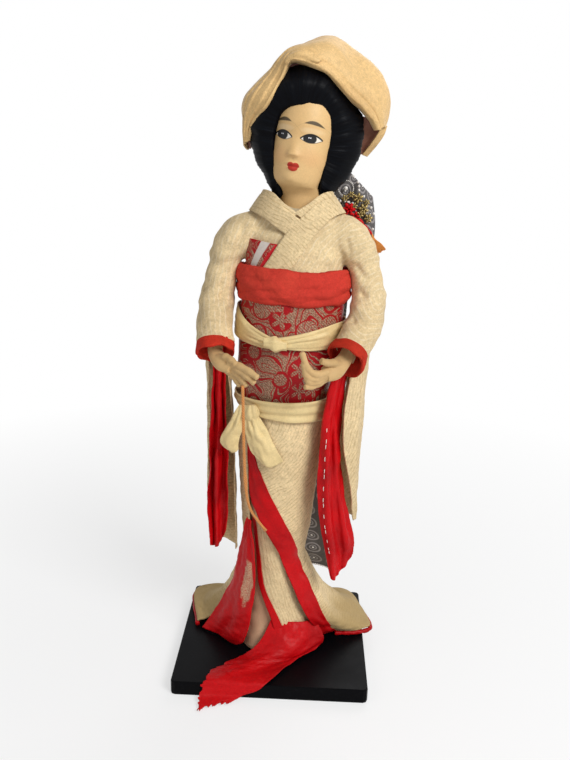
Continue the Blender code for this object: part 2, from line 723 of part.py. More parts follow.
RIGHT_ARM = [(-9.0, 2.0, 290.5), (-21.0, 2.0, 289.0), (-32.0, 1.0, 279.0), (-38.0, 0.0, 264.0),
             (-41.0, -2.5, 248.0), (-42.0, -9.0, 233.5), (-40.5, -19.0, 219.0)]
LEFT_ARM = [(25.0, 2.0, 292.0), (37.0, 2.0, 290.0), (47.5, 0.5, 279.5), (53.0, -1.0, 264.0),
            (55.0, -4.5, 248.0), (52.0, -13.5, 232.0), (43.5, -25.0, 219.0)]
SLEEVE_SWELL = [0.82, 0.98, 1.08, 1.05, 1.0, 1.0, 1.0]
SLEEVE_HALF_WIDTH = 10.5
SLEEVE_HALF_DEPTH = 12.0
CUFF_LENGTH = 5.0
SLEEVE_SIDES = 12
ARM_RADIUS = 4.2


def dressed_torso(cutters):
    """A slightly larger copy of the dressed torso, for trimming what meets it."""
    band = obiage_out(0.5) + GAP
    rings = body_rings(OBI_BOTTOM - 2.0, OBI_TOP, BAND_OUT)
    rings += body_rings(OBI_TOP + 0.5, OBIAGE_TOP + GAP, band)
    rings += body_rings(OBIAGE_TOP + 1.0, SHOULDER_HEIGHT + 6.0, OBI_OUT)
    rings += body_rings(SHOULDER_HEIGHT + 9.0, 312.0, COLLAR_OUT + COLLAR_LAP + CLOTH + GAP, COLLAR)
    return as_cutter(solid_loft("torso_cutter", rings, "padding", cutters))


def make_arm(side, route, torso, group):
    points = [Vector(p) for p in route]
    count = len(points)
    radii = [(SLEEVE_HALF_WIDTH * swell, SLEEVE_HALF_DEPTH * swell) for swell in SLEEVE_SWELL]
    shell = sheet("sleeve_" + side, pipe_rings(points, radii, SLEEVE_SIDES), THICK_CLOTH, "cream",
                  group, ring=True)
    cut_away(shell, torso)
    rings = pipe_rings(points, [(ARM_RADIUS, ARM_RADIUS)] * count, 8)
    limb = solid_loft("arm_core_" + side, rings, "padding", group)
    cut_away(limb, torso)
    ahead = (points[-1] - points[-2]).normalized()
    start = points[-1] + ahead * (GAP + 0.2)
    cuff = [start, start + ahead * CUFF_LENGTH]
    wide = (SLEEVE_HALF_WIDTH, SLEEVE_HALF_DEPTH)
    cuff_rows = pipe_rings([points[-2]] + cuff, [wide, wide, wide], SLEEVE_SIDES)[1:]
    sheet("cuff_" + side, cuff_rows, THICK_CLOTH, "red", group, ring=True)


def arm_end(route):
    """Where an arm ends, and the way it points there."""
    end = Vector(route[-1])
    return end, (end - Vector(route[-2])).normalized()


def dressed_arm(side, route, cutters):
    """A slightly larger copy of the sleeve and cuff, for trimming what hangs from them."""
    end, ahead = arm_end(route)
    points = [Vector(p) for p in route] + [end + ahead * (CUFF_LENGTH + 2 * GAP + 0.5)]
    grow = THICK_CLOTH + GAP + 0.2
    radii = [(SLEEVE_HALF_WIDTH * swell + grow, SLEEVE_HALF_DEPTH * swell + grow)
             for swell in SLEEVE_SWELL + SLEEVE_SWELL[-1:]]
    rings = pipe_rings(points, radii, SLEEVE_SIDES)
    return as_cutter(solid_loft("arm_cutter_" + side, rings, "padding", cutters))


def finger_rings(points, root, tip):
    count = len(points)
    radii = [root + (tip - root) * i / (count - 1) for i in range(count)]
    return pipe_rings(points, [(r, r) for r in radii], 6)


def make_hand(name, palm, palm_radii, fingers, group, cutters):
    """A palm with its fingers joined on."""
    rings = pipe_rings(resample(palm, 5), resample_pairs(palm_radii, 5), 9)
    made = solid_loft(name, rings, "skin", group)
    for k, (route, root, tip) in enumerate(fingers):
        part = solid_loft(f"{name}_finger_{k}", finger_rings(resample(route, 4), root, tip),
                          "skin", cutters)
        cut_away(made, as_cutter(part), "UNION")
        made.modifiers[-1].use_self = True
    return made


def resample_pairs(pairs, count):
    return [(p.x, p.y) for p in resample([(a, b, 0.0) for a, b in pairs], count)]


def make_hands(group, cutters):
    wrist, ahead = arm_end(RIGHT_ARM)
    palm = [wrist + ahead * GAP, wrist + ahead * 5.0, (-37.5, -26.0, 211.5), (-33.5, -30.0, 209.6),
            (-28.0, -34.5, 208.4)]
    sizes = [(ARM_RADIUS - 0.5, ARM_RADIUS - 0.5), (3.7, 3.2), (4.0, 3.0), (4.9, 2.8), (3.9, 2.1)]
    fingers = [
        ([(-30.0, -34.0, 210.6), (-23.5, -38.5, 210.4), (-17.0, -42.5, 208.3),
          (-11.5, -45.5, 205.3)], 1.9, 1.1),
        ([(-30.0, -33.5, 208.6), (-24.0, -38.0, 207.6), (-18.5, -41.5, 204.9),
          (-13.5, -43.8, 201.2)], 1.9, 1.1),
        ([(-30.5, -32.8, 206.8), (-25.5, -36.6, 204.9), (-21.5, -39.5, 201.8),
          (-18.6, -41.4, 198.4)], 1.8, 1.0),
        ([(-31.5, -31.6, 205.6), (-27.8, -34.6, 203.2), (-25.0, -37.0, 200.4),
          (-22.8, -38.8, 197.7)], 1.6, 0.9),
        ([(-36.0, -28.5, 212.0), (-31.5, -33.0, 213.6), (-27.5, -37.0, 212.6),
          (-24.5, -39.6, 210.3)], 1.9, 1.1)]
    make_hand("hand_right", palm, sizes, fingers, group, cutters)
    wrist, ahead = arm_end(LEFT_ARM)
    palm = [wrist + ahead * GAP, wrist + ahead * 5.0, (38.4, -32.0, 212.6), (34.0, -37.5, 209.5),
            (28.5, -42.0, 208.0)]
    fingers = [
        ([(30.0, -42.0, 209.6), (23.5, -46.5, 209.2), (18.0, -49.5, 213.4),
          (14.2, -51.0, 223.6)], 1.9, 1.1),
        ([(30.0, -41.5, 208.0), (22.5, -46.0, 206.4), (17.4, -48.8, 209.0),
          (15.4, -50.4, 217.0)], 1.9, 1.1),
        ([(30.0, -41.0, 206.6), (23.5, -44.6, 204.0), (18.8, -47.2, 204.8),
          (16.8, -49.4, 211.0)], 1.8, 1.0),
        ([(30.5, -39.6, 205.6), (25.0, -42.6, 202.4), (20.6, -45.2, 201.0),
          (16.4, -48.4, 201.6)], 1.6, 0.9),
        ([(37.0, -34.5, 212.6), (33.5, -39.6, 214.8), (29.4, -43.6, 215.8),
          (25.6, -46.4, 217.6)], 2.0, 1.1)]
    make_hand("hand_left", palm, sizes, fingers, group, cutters)


def make_sleeve_drops(group, right_arm, left_arm):
    """The long hanging sleeve bags and the red lining that shows at their open side."""
    right = [[(-46.0, -15.0, 214.0), (-47.0, -7.0, 222.0), (-45.0, 1.0, 231.0), (-38.5, 3.0, 233.0),
              (-35.0, 0.0, 230.0), (-35.0, -8.0, 218.0)],
             [(-46.0, -16.0, 170.0), (-48.0, -6.0, 170.0), (-45.0, 5.0, 170.0), (-38.0, 9.0, 170.0),
              (-32.0, 6.0, 170.0), (-31.0, -6.0, 170.0)],
             [(-47.0, -14.0, 112.0), (-48.0, -5.0, 111.0), (-44.0, 5.0, 109.0), (-37.0, 8.0, 108.0),
              (-29.5, 5.0, 106.0), (-28.5, -4.0, 106.0)],
             [(-45.0, -12.0, 78.0), (-45.5, -5.0, 76.0), (-42.0, 4.0, 73.0), (-35.5, 7.0, 71.0),
              (-28.5, 4.0, 68.0), (-27.5, -3.0, 68.0)]]
    hang("sleeve_bag_right", right, 9, 7, CLOTH, "cream", right_arm, group)
    lining = [[(-42.6, -11.4, 214.0), (-41.0, -9.5, 215.0), (-39.5, -13.5, 214.0), (-37.8, -9.5, 215.0),
               (-36.2, -13.0, 214.0)],
              [(-43.5, -18.0, 165.0), (-41.5, -12.0, 165.0), (-38.5, -18.0, 165.0), (-35.5, -12.0, 165.0),
               (-33.5, -17.5, 165.0)],
              [(-45.5, -16.5, 110.0), (-43.0, -10.5, 110.0), (-40.0, -17.0, 108.0), (-36.0, -11.0, 110.0),
               (-31.5, -16.5, 112.0)],
              [(-43.5, -14.5, 76.0), (-42.0, -10.5, 74.0), (-39.5, -15.0, 76.0), (-36.5, -11.0, 80.0),
               (-34.0, -14.5, 87.0)]]
    hang("sleeve_lining_right", lining, 9, 8, CLOTH * 0.8, "red", right_arm, group)
    left = [[(46.5, -19.0, 212.0), (51.5, -14.0, 214.0), (55.5, -6.0, 224.0), (57.0, 0.0, 234.0),
             (52.0, 3.5, 236.0), (47.0, -2.0, 228.0)],
            [(42.0, -22.0, 165.0), (51.0, -16.0, 165.0), (54.5, -7.0, 165.0), (55.5, 4.0, 165.0),
             (49.5, 9.0, 165.0), (42.0, 4.0, 165.0)],
            [(49.0, -17.0, 125.0), (53.0, -11.0, 125.0), (54.5, -4.0, 125.0), (53.5, 4.0, 125.0),
             (47.5, 9.0, 125.0), (39.0, 5.0, 125.0)],
            [(52.5, -10.0, 97.0), (54.0, -6.0, 96.0), (54.0, -1.0, 95.0), (51.5, 4.0, 95.0),
             (46.0, 8.0, 95.0), (38.0, 5.0, 96.0)]]
    hang("sleeve_bag_left", left, 9, 7, CLOTH, "cream", left_arm, group)
    lining = [[(36.5, -24.0, 212.0), (38.5, -26.5, 213.0), (40.5, -20.0, 213.0), (43.0, -17.5, 214.0),
               (45.5, -15.5, 214.0)],
              [(28.5, -25.5, 172.0), (32.5, -28.0, 172.0), (34.5, -21.0, 172.0), (38.5, -19.5, 170.0),
               (41.0, -13.0, 170.0)],
              [(27.5, -27.0, 120.0), (34.0, -29.0, 120.0), (36.5, -21.5, 120.0), (41.5, -20.5, 120.0),
               (44.0, -13.0, 120.0)],
              [(33.0, -25.5, 85.0), (39.0, -27.0, 85.0), (42.0, -20.0, 85.0), (48.0, -20.5, 85.0),
               (53.0, -15.0, 88.0)],
              [(38.5, -23.5, 60.0), (41.5, -24.0, 59.0), (44.0, -20.5, 63.0), (48.5, -20.0, 68.0),
               (53.0, -17.5, 76.0)]]
    hang("sleeve_lining_left", lining, 9, 9, CLOTH * 0.8, "red", left_arm, group)


def hang(name, rows, across, down, thickness, finish, arm, group):
    """Cloth that hangs from a sleeve, its top edge trimmed to the sleeve's underside."""
    made = sheet(name, surface(rows, across, down)[::-1], thickness, finish, group)
    cut_away(made, arm)


# Head, hair and hood

HEAD_RINGS = [
    # height from the head's centre, half width, front and back depth, share of the tilt
    (-29.7, 7.6, 7.2, 7.2, 0.0), (-25.0, 7.0, 6.6, 7.0, 0.1), (-20.5, 7.2, 7.2, 8.0, 0.5),
    (-19.0, 8.6, 11.6, 9.0, 0.9), (-16.5, 11.4, 15.4, 11.8, 1.0), (-12.5, 13.9, 16.7, 14.0, 1.0),
    (-9.5, 15.2, 17.0, 15.3, 1.0), (-6.5, 16.1, 17.1, 16.2, 1.0), (-3.0, 16.8, 17.2, 17.0, 1.0),
    (1.5, 17.2, 17.3, 17.8, 1.0), (7.0, 17.6, 17.0, 18.3, 1.0), (12.0, 17.7, 17.1, 18.5, 1.0),
    (18.0, 17.5, 17.2, 18.3, 1.0), (25.0, 16.3, 16.1, 17.1, 1.0), (31.0, 13.4, 13.4, 14.4, 1.0),
    (35.0, 9.4, 9.6, 10.4, 1.0), (37.3, 4.6, 4.8, 5.2, 1.0)]


def bump(x, h, at_x, at_h, wide, tall):
    return exp(-((x - at_x) / wide) ** 2 - ((h - at_h) / tall) ** 2)


def face_relief(x, h):
    """How far the face stands forward of its smooth oval at a point."""
    nose_low = MOUTH_HEIGHT + 5.2
    rise = min(max((EYE_HEIGHT + 3.0 - h) / (EYE_HEIGHT + 3.0 - nose_low - 1.5), 0.0), 1.0)
    if h < nose_low + 1.5:
        rise = exp(-((h - nose_low - 1.5) / 1.5) ** 2)
    nose = NOSE_LENGTH * rise ** 1.4 * exp(-(x / (1.5 + 1.2 * rise)) ** 2)
    sockets = sum(bump(x, h, s * EYE_SPREAD, EYE_HEIGHT, 4.6, 3.0) for s in (-1, 1))
    lips = bump(x, h, 0.0, MOUTH_HEIGHT + 1.3, 3.8, 1.1) + bump(x, h, 0.0, MOUTH_HEIGHT - 1.5, 3.2, 1.2)
    chin = bump(x, h, 0.0, MOUTH_HEIGHT - 7.5, 4.5, 2.6)
    cheeks = sum(bump(x, h, s * 9.5, MOUTH_HEIGHT + 5.5, 5.0, 5.0) for s in (-1, 1))
    return nose - 1.0 * sockets + 0.9 * lips + 0.7 * chin + 0.5 * cheeks


def head_ring(h, wide, front, back, share, grow, count):
    """One ring of the head, turned and tilted by its share, grown outwards by grow."""
    wide = wide * HEAD_HALF_WIDTH / 17.7 + grow
    turn = (Matrix.Rotation(radians(HEAD_TILT * share), 3, "Y")
            @ Matrix.Rotation(radians(HEAD_TURN * share), 3, "Z"))
    ring = []
    for i in range(count):
        t = 2 * pi * i / count
        angle = t - 0.42 * sin(t)
        x = wide * sin(angle)
        y = -(front + grow) * cos(angle) if cos(angle) > 0 else -(back + grow) * cos(angle)
        if cos(angle) > 0.2:
            y -= face_relief(x, h) * min(1.0, (cos(angle) - 0.2) * 3)
        ring.append(HEAD_CENTRE + turn @ Vector((x, y, h)) + Vector((1.0, 2.5, 0.0)) * (1 - share))
    return ring


def head_rings():
    return [head_ring(*row, 0.0, HEAD_SIDES) for row in HEAD_RINGS]


def skull_rings():
    """A plainer and larger head, for hollowing the hair."""
    rows = HEAD_RINGS[:4:3] + HEAD_RINGS[5:9:3] + HEAD_RINGS[10:]
    rings = [head_ring(*row, SKULL_CLEARANCE, SKULL_SIDES) for row in rows]
    rings[-1] = [p + Vector((0, 0, SKULL_CLEARANCE)) for p in rings[-1]]
    return rings


HAIR_SECTIONS = Profile([
    (HAIR_BOTTOM, 8.5, 16.0, 13.5, 9.0), (316.0, 9.5, 16.6, 19.0, 13.2), (323.0, 11.0, 17.0, 26.0, 17.6),
    (334.0, 11.8, 15.5, 32.2, 20.5), (346.0, 12.0, 14.5, 34.5, 22.5), (356.0, 12.3, 12.5, 33.5, 24.0),
    (366.0, 12.6, 9.5, 29.0, 24.0), (376.0, 13.0, 6.0, 22.0, 21.0), (382.5, 13.0, 5.5, 15.5, 17.0),
    (388.0, 13.5, 10.0, 10.5, 12.0), (HAIR_TOP, 14.0, 12.5, 6.0, 7.5)])


def make_hair(group, cutters):
    """The dressed hair: a swept-up mass with a window for the face and a hollow for the skull."""
    rings = body_rings(HAIR_BOTTOM, HAIR_TOP, 0.0, HAIR_SECTIONS, HAIR_SIDES)
    hair = solid_loft("hair", rings, "hair", group)
    skull = as_cutter(solid_loft("skull_cutter", skull_rings(), "hair", cutters))
    cut_away(hair, skull)
    outline = [(-2.5, 300.0), (-4.2, 316.0), (-7.0, 324.5), (-9.0, 334.0), (-8.4, 348.0), (-5.0, 357.5),
               (1.0, 362.2), (9.0, 363.8), (17.0, 362.6), (23.0, 357.5), (26.5, 348.0), (27.0, 336.5),
               (24.3, 325.0), (22.0, 316.0), (21.0, 300.0)]
    near = [Vector((x, -60.0, z)) for x, z in outline]
    far = [Vector((x, 1.0, z)) for x, z in outline]
    window = as_cutter(solid_loft("face_window_cutter", [far, near], "hair", cutters))
    cut_away(hair, window)


HOOD_FRONT = [(-25.0, 3.0, 340.0), (-20.0, -3.5, 354.0), (-9.5, -10.0, 371.0), (1.0, -17.0, 386.0),
              (13.0, -18.0, 387.5), (25.0, -15.0, 380.5), (37.0, -10.5, 369.5), (47.5, -5.0, 360.0),
              (56.0, 2.0, 349.0), (57.0, 9.0, 340.0)]
HOOD_CREST = [(-24.4, 12.0, 337.0), (-29.0, 8.0, 358.0), (-21.0, 6.0, 377.0), (-2.0, 5.0, 392.5),
              (15.5, 5.5, 401.0), (32.0, 7.0, 400.0), (48.0, 9.0, 388.0), (60.0, 11.5, 374.0),
              (61.5, 14.0, 357.5), (56.5, 17.0, 343.0)]
HOOD_REAR = [(-21.8, 24.0, 337.0), (-25.5, 28.0, 352.0), (-17.5, 31.0, 368.0), (-1.0, 32.5, 382.0),
             (15.0, 33.0, 389.0), (31.0, 33.5, 387.0), (45.0, 34.0, 377.0), (54.0, 34.0, 364.0),
             (55.0, 33.0, 350.0), (51.0, 28.0, 338.0)]


def make_hood(group):
    """The folded silk bridal hood round the hair, with its lining set inside it."""
    mid = [tuple((Vector(f) + Vector(c)) / 2 + Vector((0, -1.5, 1.0)))
           for f, c in zip(HOOD_FRONT, HOOD_CREST)]
    over = [tuple((Vector(c) + Vector(r)) / 2 + Vector((0, 0, 3.0)))
            for c, r in zip(HOOD_CREST, HOOD_REAR)]
    rows = surface([HOOD_FRONT, mid, HOOD_CREST, over, HOOD_REAR], 15, 7)
    sheet("hood", rows, THICK_CLOTH, "hood", group, side=1.0)
    centre = Vector((15.0, 15.0, 352.0))
    inner = [[p + (centre - p).normalized() * (GAP + 0.5) for p in row] for row in rows[1:]]
    sheet("hood_lining", inner, 0.8, "russet", group, side=-1.0)


# Bow at the back

def strap_rings(points, widths, depths, across):
    """Flat oval rings along a route that lie in planes facing back."""
    rings = []
    for i, point in enumerate(points):
        ahead = (Vector(points[min(i + 1, len(points) - 1)]) - Vector(points[max(i - 1, 0)])).normalized()
        side = ahead.cross(Vector((0, -1, 0))).normalized()
        over = side.cross(ahead).normalized()
        ring = []
        for k in range(across):
            angle = 2 * pi * k / across
            flat = abs(cos(angle)) ** 0.7 * (1 if cos(angle) > 0 else -1)
            ring.append(Vector(point) + side * (widths[i] * flat) + over * (depths[i] * sin(angle)))
        rings.append(ring)
    return rings


def make_bow(group):
    back = RIB_HALF_DEPTH + BAND_OUT + OBIJIME_THICKNESS + GAP + 0.5
    knot = (6.0, back + 4.5, 228.0)
    solid_loft("bow_knot", ball_rings(knot, (9.5, 5.0, 11.0), 7, 12), "grey", group)
    upper = [(12.1, back + 5.0, 237.1), (23.0, back + 7.5, 252.0), (35.0, back + 8.5, 272.0),
             (45.5, back + 8.0, 291.0), (51.0, back + 7.0, 301.0)]
    rings = strap_rings(upper, [7.5, 15.0, 22.0, 25.0, 24.0], [3.0, 5.0, 5.5, 4.5, 2.0], 14)
    solid_loft("bow_loop_upper", rings, "grey", group)
    lower = [(-0.2, back + 5.0, 219.0), (-7.0, back + 7.5, 206.0), (-12.5, back + 8.0, 191.0),
             (-17.0, back + 7.0, 178.0)]
    rings = strap_rings(lower, [7.0, 14.0, 18.0, 17.0], [3.0, 5.0, 5.0, 2.2], 14)
    solid_loft("bow_loop_lower", rings, "grey", group)
    rows = [[(8.0, back + 3.6, 215.8), (11.5, back + 3.6, 218.2), (15.0, back + 3.6, 219.4)],
            [(10.5, back + 1.8, 160.0), (17.0, back + 2.6, 160.0), (23.5, back + 1.8, 160.0)],
            [(14.0, back + 1.0, 100.0), (23.0, back + 2.5, 100.0), (32.0, back + 1.0, 100.0)],
            [(20.0, back + 9.0, 52.0), (30.0, back + 10.5, 50.0), (40.0, back + 9.0, 46.0)]]
    sheet("bow_tail", surface(rows, 4, 9)[::-1], THICK_CLOTH, "grey", group)


# Sash ends and cord

def make_sash_ends(group):
    out = SASH_OUT + WAIST_SASH_THICKNESS + GAP
    at = BODY.front(-16.0, OBI_BOTTOM - 5.0, out)
    knot = at + Vector((-0.5, -3.6, 0))
    solid_loft("sash_knot", ball_rings(knot, (4.6, 2.8, 4.4), 6, 12), "cream", group)
    leaf = [[(-17.5, knot.y + 0.5, 171.5), (-16.0, knot.y, 171.5), (-14.5, knot.y + 0.5, 171.5)],
            [(-18.5, knot.y + 1.5, 160.0), (-14.5, knot.y - 0.5, 160.0), (-9.0, knot.y + 1.5, 161.0)],
            [(-16.5, knot.y + 1.5, 150.0), (-9.5, knot.y - 1.0, 148.5), (-1.5, knot.y + 1.0, 151.0)],
            [(-8.0, knot.y + 1.5, 141.5), (-3.5, knot.y - 0.5, 139.5), (3.5, knot.y + 1.0, 143.0)]]
    sheet("sash_end_left", surface(leaf, 5, 7)[::-1], CLOTH, "cream", group)
    loop = [[(-24.0, knot.y + 2.5, 178.0), (-22.5, knot.y + 2.0, 177.5), (-21.2, knot.y + 2.5, 177.0)],
            [(-29.5, knot.y + 3.0, 168.0), (-26.5, knot.y + 1.5, 167.0), (-23.0, knot.y + 3.0, 166.0)],
            [(-36.5, knot.y + 2.5, 157.0), (-31.0, knot.y + 0.5, 156.0), (-24.5, knot.y + 2.5, 158.0)],
            [(-31.5, knot.y + 2.5, 150.5), (-28.5, knot.y + 1.0, 150.2), (-25.5, knot.y + 2.5, 151.0)]]
    sheet("sash_end_right", surface(loop, 5, 7)[::-1], CLOTH, "cream", group)


CORD_RADIUS = 0.9
CORD_ROUTE = [(-21.0, -42.4, 199.4), (-20.8, -43.0, 196.0), (-20.6, -42.6, 188.0), (-20.4, -41.0, 176.0),
              (-20.2, -39.4, 164.0), (-19.8, -37.8, 150.0), (-19.2, -36.0, 136.0), (-18.0, -34.2, 122.0),
              (-15.4, -32.6, 112.0), (-11.0, -31.4, 104.5), (-5.6, -30.6, 97.0)]


def make_cord(group):
    tube("hand_cord", resample(CORD_ROUTE, 26), CORD_RADIUS, "cord", group)


def build():
    clear_scene()
    doll = make_collection("geisha_doll")
    cutters = make_collection("cutters")
    make_board(doll)
    make_leg("leg_right", LEGS_CENTRE - LEG_SPREAD, doll)
    make_leg("leg_left", LEGS_CENTRE + LEG_SPREAD, doll)
    make_body(doll)
    make_belts(doll)
    make_waist_sash(doll)
    make_collars(doll)
    make_pouch(doll)
    make_inner_skirt(doll)
    make_underskirt(doll)
    make_outer_skirt(doll)
    make_lining_panel(doll)
    make_red_train(doll)
    torso = dressed_torso(cutters)
    make_arm("right", RIGHT_ARM, torso, doll)
    make_arm("left", LEFT_ARM, torso, doll)
    make_hands(doll, cutters)
    make_sleeve_drops(doll, dressed_arm("right", RIGHT_ARM, cutters),
                      dressed_arm("left", LEFT_ARM, cutters))
    solid_loft("head", head_rings(), "skin", doll)
    make_hair(doll, cutters)
    make_hood(doll)
    make_bow(doll)
    make_sash_ends(doll)
    make_cord(doll)


build()
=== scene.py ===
"""Geisha doll in bridal dress on a black lacquered board: the dressed, finished look.

Points are in millimetres, heights from the deck (the top face of the board). +X is the side
of the doll's own left hand, +Y its back. "Right" and "left" in a name are the doll's own.
"""

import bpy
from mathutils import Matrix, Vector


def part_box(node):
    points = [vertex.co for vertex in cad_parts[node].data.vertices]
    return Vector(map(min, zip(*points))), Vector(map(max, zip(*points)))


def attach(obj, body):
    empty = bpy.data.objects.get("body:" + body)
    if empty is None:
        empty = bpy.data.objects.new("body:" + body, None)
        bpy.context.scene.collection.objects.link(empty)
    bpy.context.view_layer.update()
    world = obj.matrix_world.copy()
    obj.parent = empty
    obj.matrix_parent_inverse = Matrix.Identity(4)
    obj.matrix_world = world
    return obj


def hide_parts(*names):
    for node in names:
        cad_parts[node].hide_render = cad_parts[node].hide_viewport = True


bl_info = {
    "name": "Bridal doll dressing",
    "version": (1, 0, 0),
    "blender": (4, 5, 0),
    "location": "3D View > Sidebar > Doll",
    "description": "Dresses the doll: silks, brocades, hair, painted face, bow, cord and stage",
    "category": "Object",
}

import bpy
import bmesh
import numpy as np
from math import cos, exp, pi, radians, sin, sqrt
from mathutils import Matrix, Vector

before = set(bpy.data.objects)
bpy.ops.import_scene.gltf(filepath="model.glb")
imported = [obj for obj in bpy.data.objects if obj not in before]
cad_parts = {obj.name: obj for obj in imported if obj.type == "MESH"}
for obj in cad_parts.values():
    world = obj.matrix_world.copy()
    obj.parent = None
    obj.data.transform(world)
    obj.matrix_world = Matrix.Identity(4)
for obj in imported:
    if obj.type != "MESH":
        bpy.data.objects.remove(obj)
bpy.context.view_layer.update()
MM = 0.001
BODY_NAME = "root"
OBJECT_UNIT = 1000  # millimetres in a unit of the object coordinates
CLOTH_UNIT = 100  # millimetres in a unit of the cloth UV map
WAVE_PITCH = 314  # millimetres between the bands of a wave texture of scale 1


def linear(hex_colour):
    """A linear RGBA colour from an sRGB hex value."""
    values = [int(hex_colour[i:i + 2], 16) / 255 for i in (1, 3, 5)]
    return tuple(v / 12.92 if v <= 0.04045 else ((v + 0.055) / 1.055) ** 2.4 for v in values) + (1.0,)


def colour_of(name, words, hex_colour):
    """A colour that a user may change."""
    return bpy.props.FloatVectorProperty(name=name, description=words, subtype="COLOR", size=4,
                                         min=0.0, max=1.0, default=linear(hex_colour))


def length_of(name, words, metres):
    """A length that a user may change."""
    return bpy.props.FloatProperty(name=name, description=words, default=metres, unit="LENGTH",
                                   precision=4)


class DollSizes(bpy.types.PropertyGroup):
    """Lengths that a user may change."""
    deck: length_of("Deck height", "Top face of the board above the table",
                    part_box("base_board")[1][2])
    cloth: length_of("Cloth", "Thickness of the silk", 0.0006)
    pearl: length_of("Pearl", "Diameter of a sewn pearl", 0.0016)
    cord_width: length_of("Cord", "Width of the hand cord", 0.0018)


class DollColours(bpy.types.PropertyGroup):
    """Colours that a user may change."""
    cream: colour_of("Cream crepe", "Kimono and skirts", "#DEC69A")
    hood: colour_of("Hood silk", "Bridal hood", "#DDB87E")
    red: colour_of("Red silk", "Linings, border and train", "#C40810")
    obiage: colour_of("Crushed band", "Soft band above the obi", "#C2362A")
    sash: colour_of("Sash silk", "Waist sash and its ends", "#E4CC94")
    skin: colour_of("Skin", "Painted silk of face and hands", "#D6B27C")
    hair: colour_of("Hair", "Black silk floss", "#07070A")
    grey: colour_of("Grey brocade", "Bow and tail", "#4A4645")
    cord: colour_of("Cord", "Flat orange cord", "#CC843F")
    lacquer: colour_of("Lacquer", "Board", "#050507")


# Curves and grids

def curve_point(points, t):
    """A point on the smooth curve through the given points, t from 0 to 1."""
    last = len(points) - 1
    place = min(max(t, 0), 1) * last
    i = min(int(place), last - 1)
    f = place - i
    p1, p2 = Vector(points[i]), Vector(points[i + 1])
    p0 = Vector(points[i - 1]) if i > 0 else p1 * 2 - p2
    p3 = Vector(points[i + 2]) if i < last - 1 else p2 * 2 - p1
    return 0.5 * (2 * p1 + (p2 - p0) * f + (2 * p0 - 5 * p1 + 4 * p2 - p3) * f * f
                  + (3 * p1 - p0 - 3 * p2 + p3) * f * f * f)


def resample(points, count):
    """Evenly numbered places on the curve through some points."""
    return [curve_point(points, i / (count - 1)) for i in range(count)]


def surface(rows, across, down):
    """A fine grid of points through a coarse grid of control points."""
    fine = [resample(row, across) for row in rows]
    columns = [resample([row[i] for row in fine], down) for i in range(across)]
    return [[column[j] for column in columns] for j in range(down)]


def table_at(rows, key):
    """Values between the rows of a table, on a smooth curve that never overshoots much."""
    if key <= rows[0][0]:
        return list(rows[0][1:])
    if key >= rows[-1][0]:
        return list(rows[-1][1:])
    i = max(k for k in range(len(rows) - 1) if rows[k][0] <= key)
    low, high = rows[i], rows[i + 1]
    before, after = rows[max(i - 1, 0)], rows[min(i + 2, len(rows) - 1)]
    span = high[0] - low[0]
    f = (key - low[0]) / span
    found = []
    for c in range(1, len(low)):
        rise = high[c] - low[c]
        start = (high[c] - before[c]) / (high[0] - before[0]) * span
        end = (after[c] - low[c]) / (after[0] - low[0]) * span
        found.append(low[c] + start * (f - 2 * f * f + f ** 3) + rise * (3 * f * f - 2 * f ** 3)
                     + end * (f ** 3 - f * f))
    return found


def grid_points(rows):
    """A grid of points as one array: rows, places along them, x y z."""
    return np.array([[tuple(p) for p in row] for row in rows])


def spans(points, ring):
    """Millimetres along the rows and down the columns of a grid, as two running sums."""
    closed = np.concatenate([points, points[:, :1]], axis=1) if ring else points
    along = np.linalg.norm(np.diff(closed, axis=1), axis=2).mean(axis=0)
    down = np.linalg.norm(np.diff(points, axis=0), axis=2).mean(axis=1)
    return np.concatenate([[0], np.cumsum(along)]), np.concatenate([[0], np.cumsum(down)])


def rumple(u, v, size, seed=0, count=7):
    """Smooth random waves about size millimetres apart, from about -1 to 1."""
    total = 0
    for k in range(count):
        turn = 2.399963 * (k + 1) + seed * 1.37
        pitch = size * (0.7 + 0.6 * ((k * 0.618 + seed * 0.27) % 1))
        total = total + np.sin((u * cos(turn) + v * sin(turn)) * 2 * pi / pitch + 1.7 * k + seed)
    return total / sqrt(count) / 1.3


def raised(points, relief, ring):
    """The grid moved along its normals by relief(u, v, points) in millimetres."""
    if ring:
        along = np.roll(points, -1, axis=1) - np.roll(points, 1, axis=1)
    else:
        along = np.gradient(points, axis=1)
    normal = np.cross(along, np.gradient(points, axis=0))
    normal /= np.maximum(np.linalg.norm(normal, axis=2, keepdims=True), 1e-9)
    u, v = spans(points, ring)
    u = u[:-1] if ring else u
    return points + normal * relief(u[None, :], v[:, None], points)[..., None]


def link_mesh(name, mesh):
    """A mesh as an object in the scene."""
    made = bpy.data.objects.new(name, mesh)
    bpy.context.scene.collection.objects.link(made)
    return made


def lift(points):
    """From doll millimetres to table metres."""
    deck = bpy.context.scene.doll_sizes.deck
    return np.asarray(points, dtype=float).reshape(-1, 3) * MM + np.array([0, 0, deck])


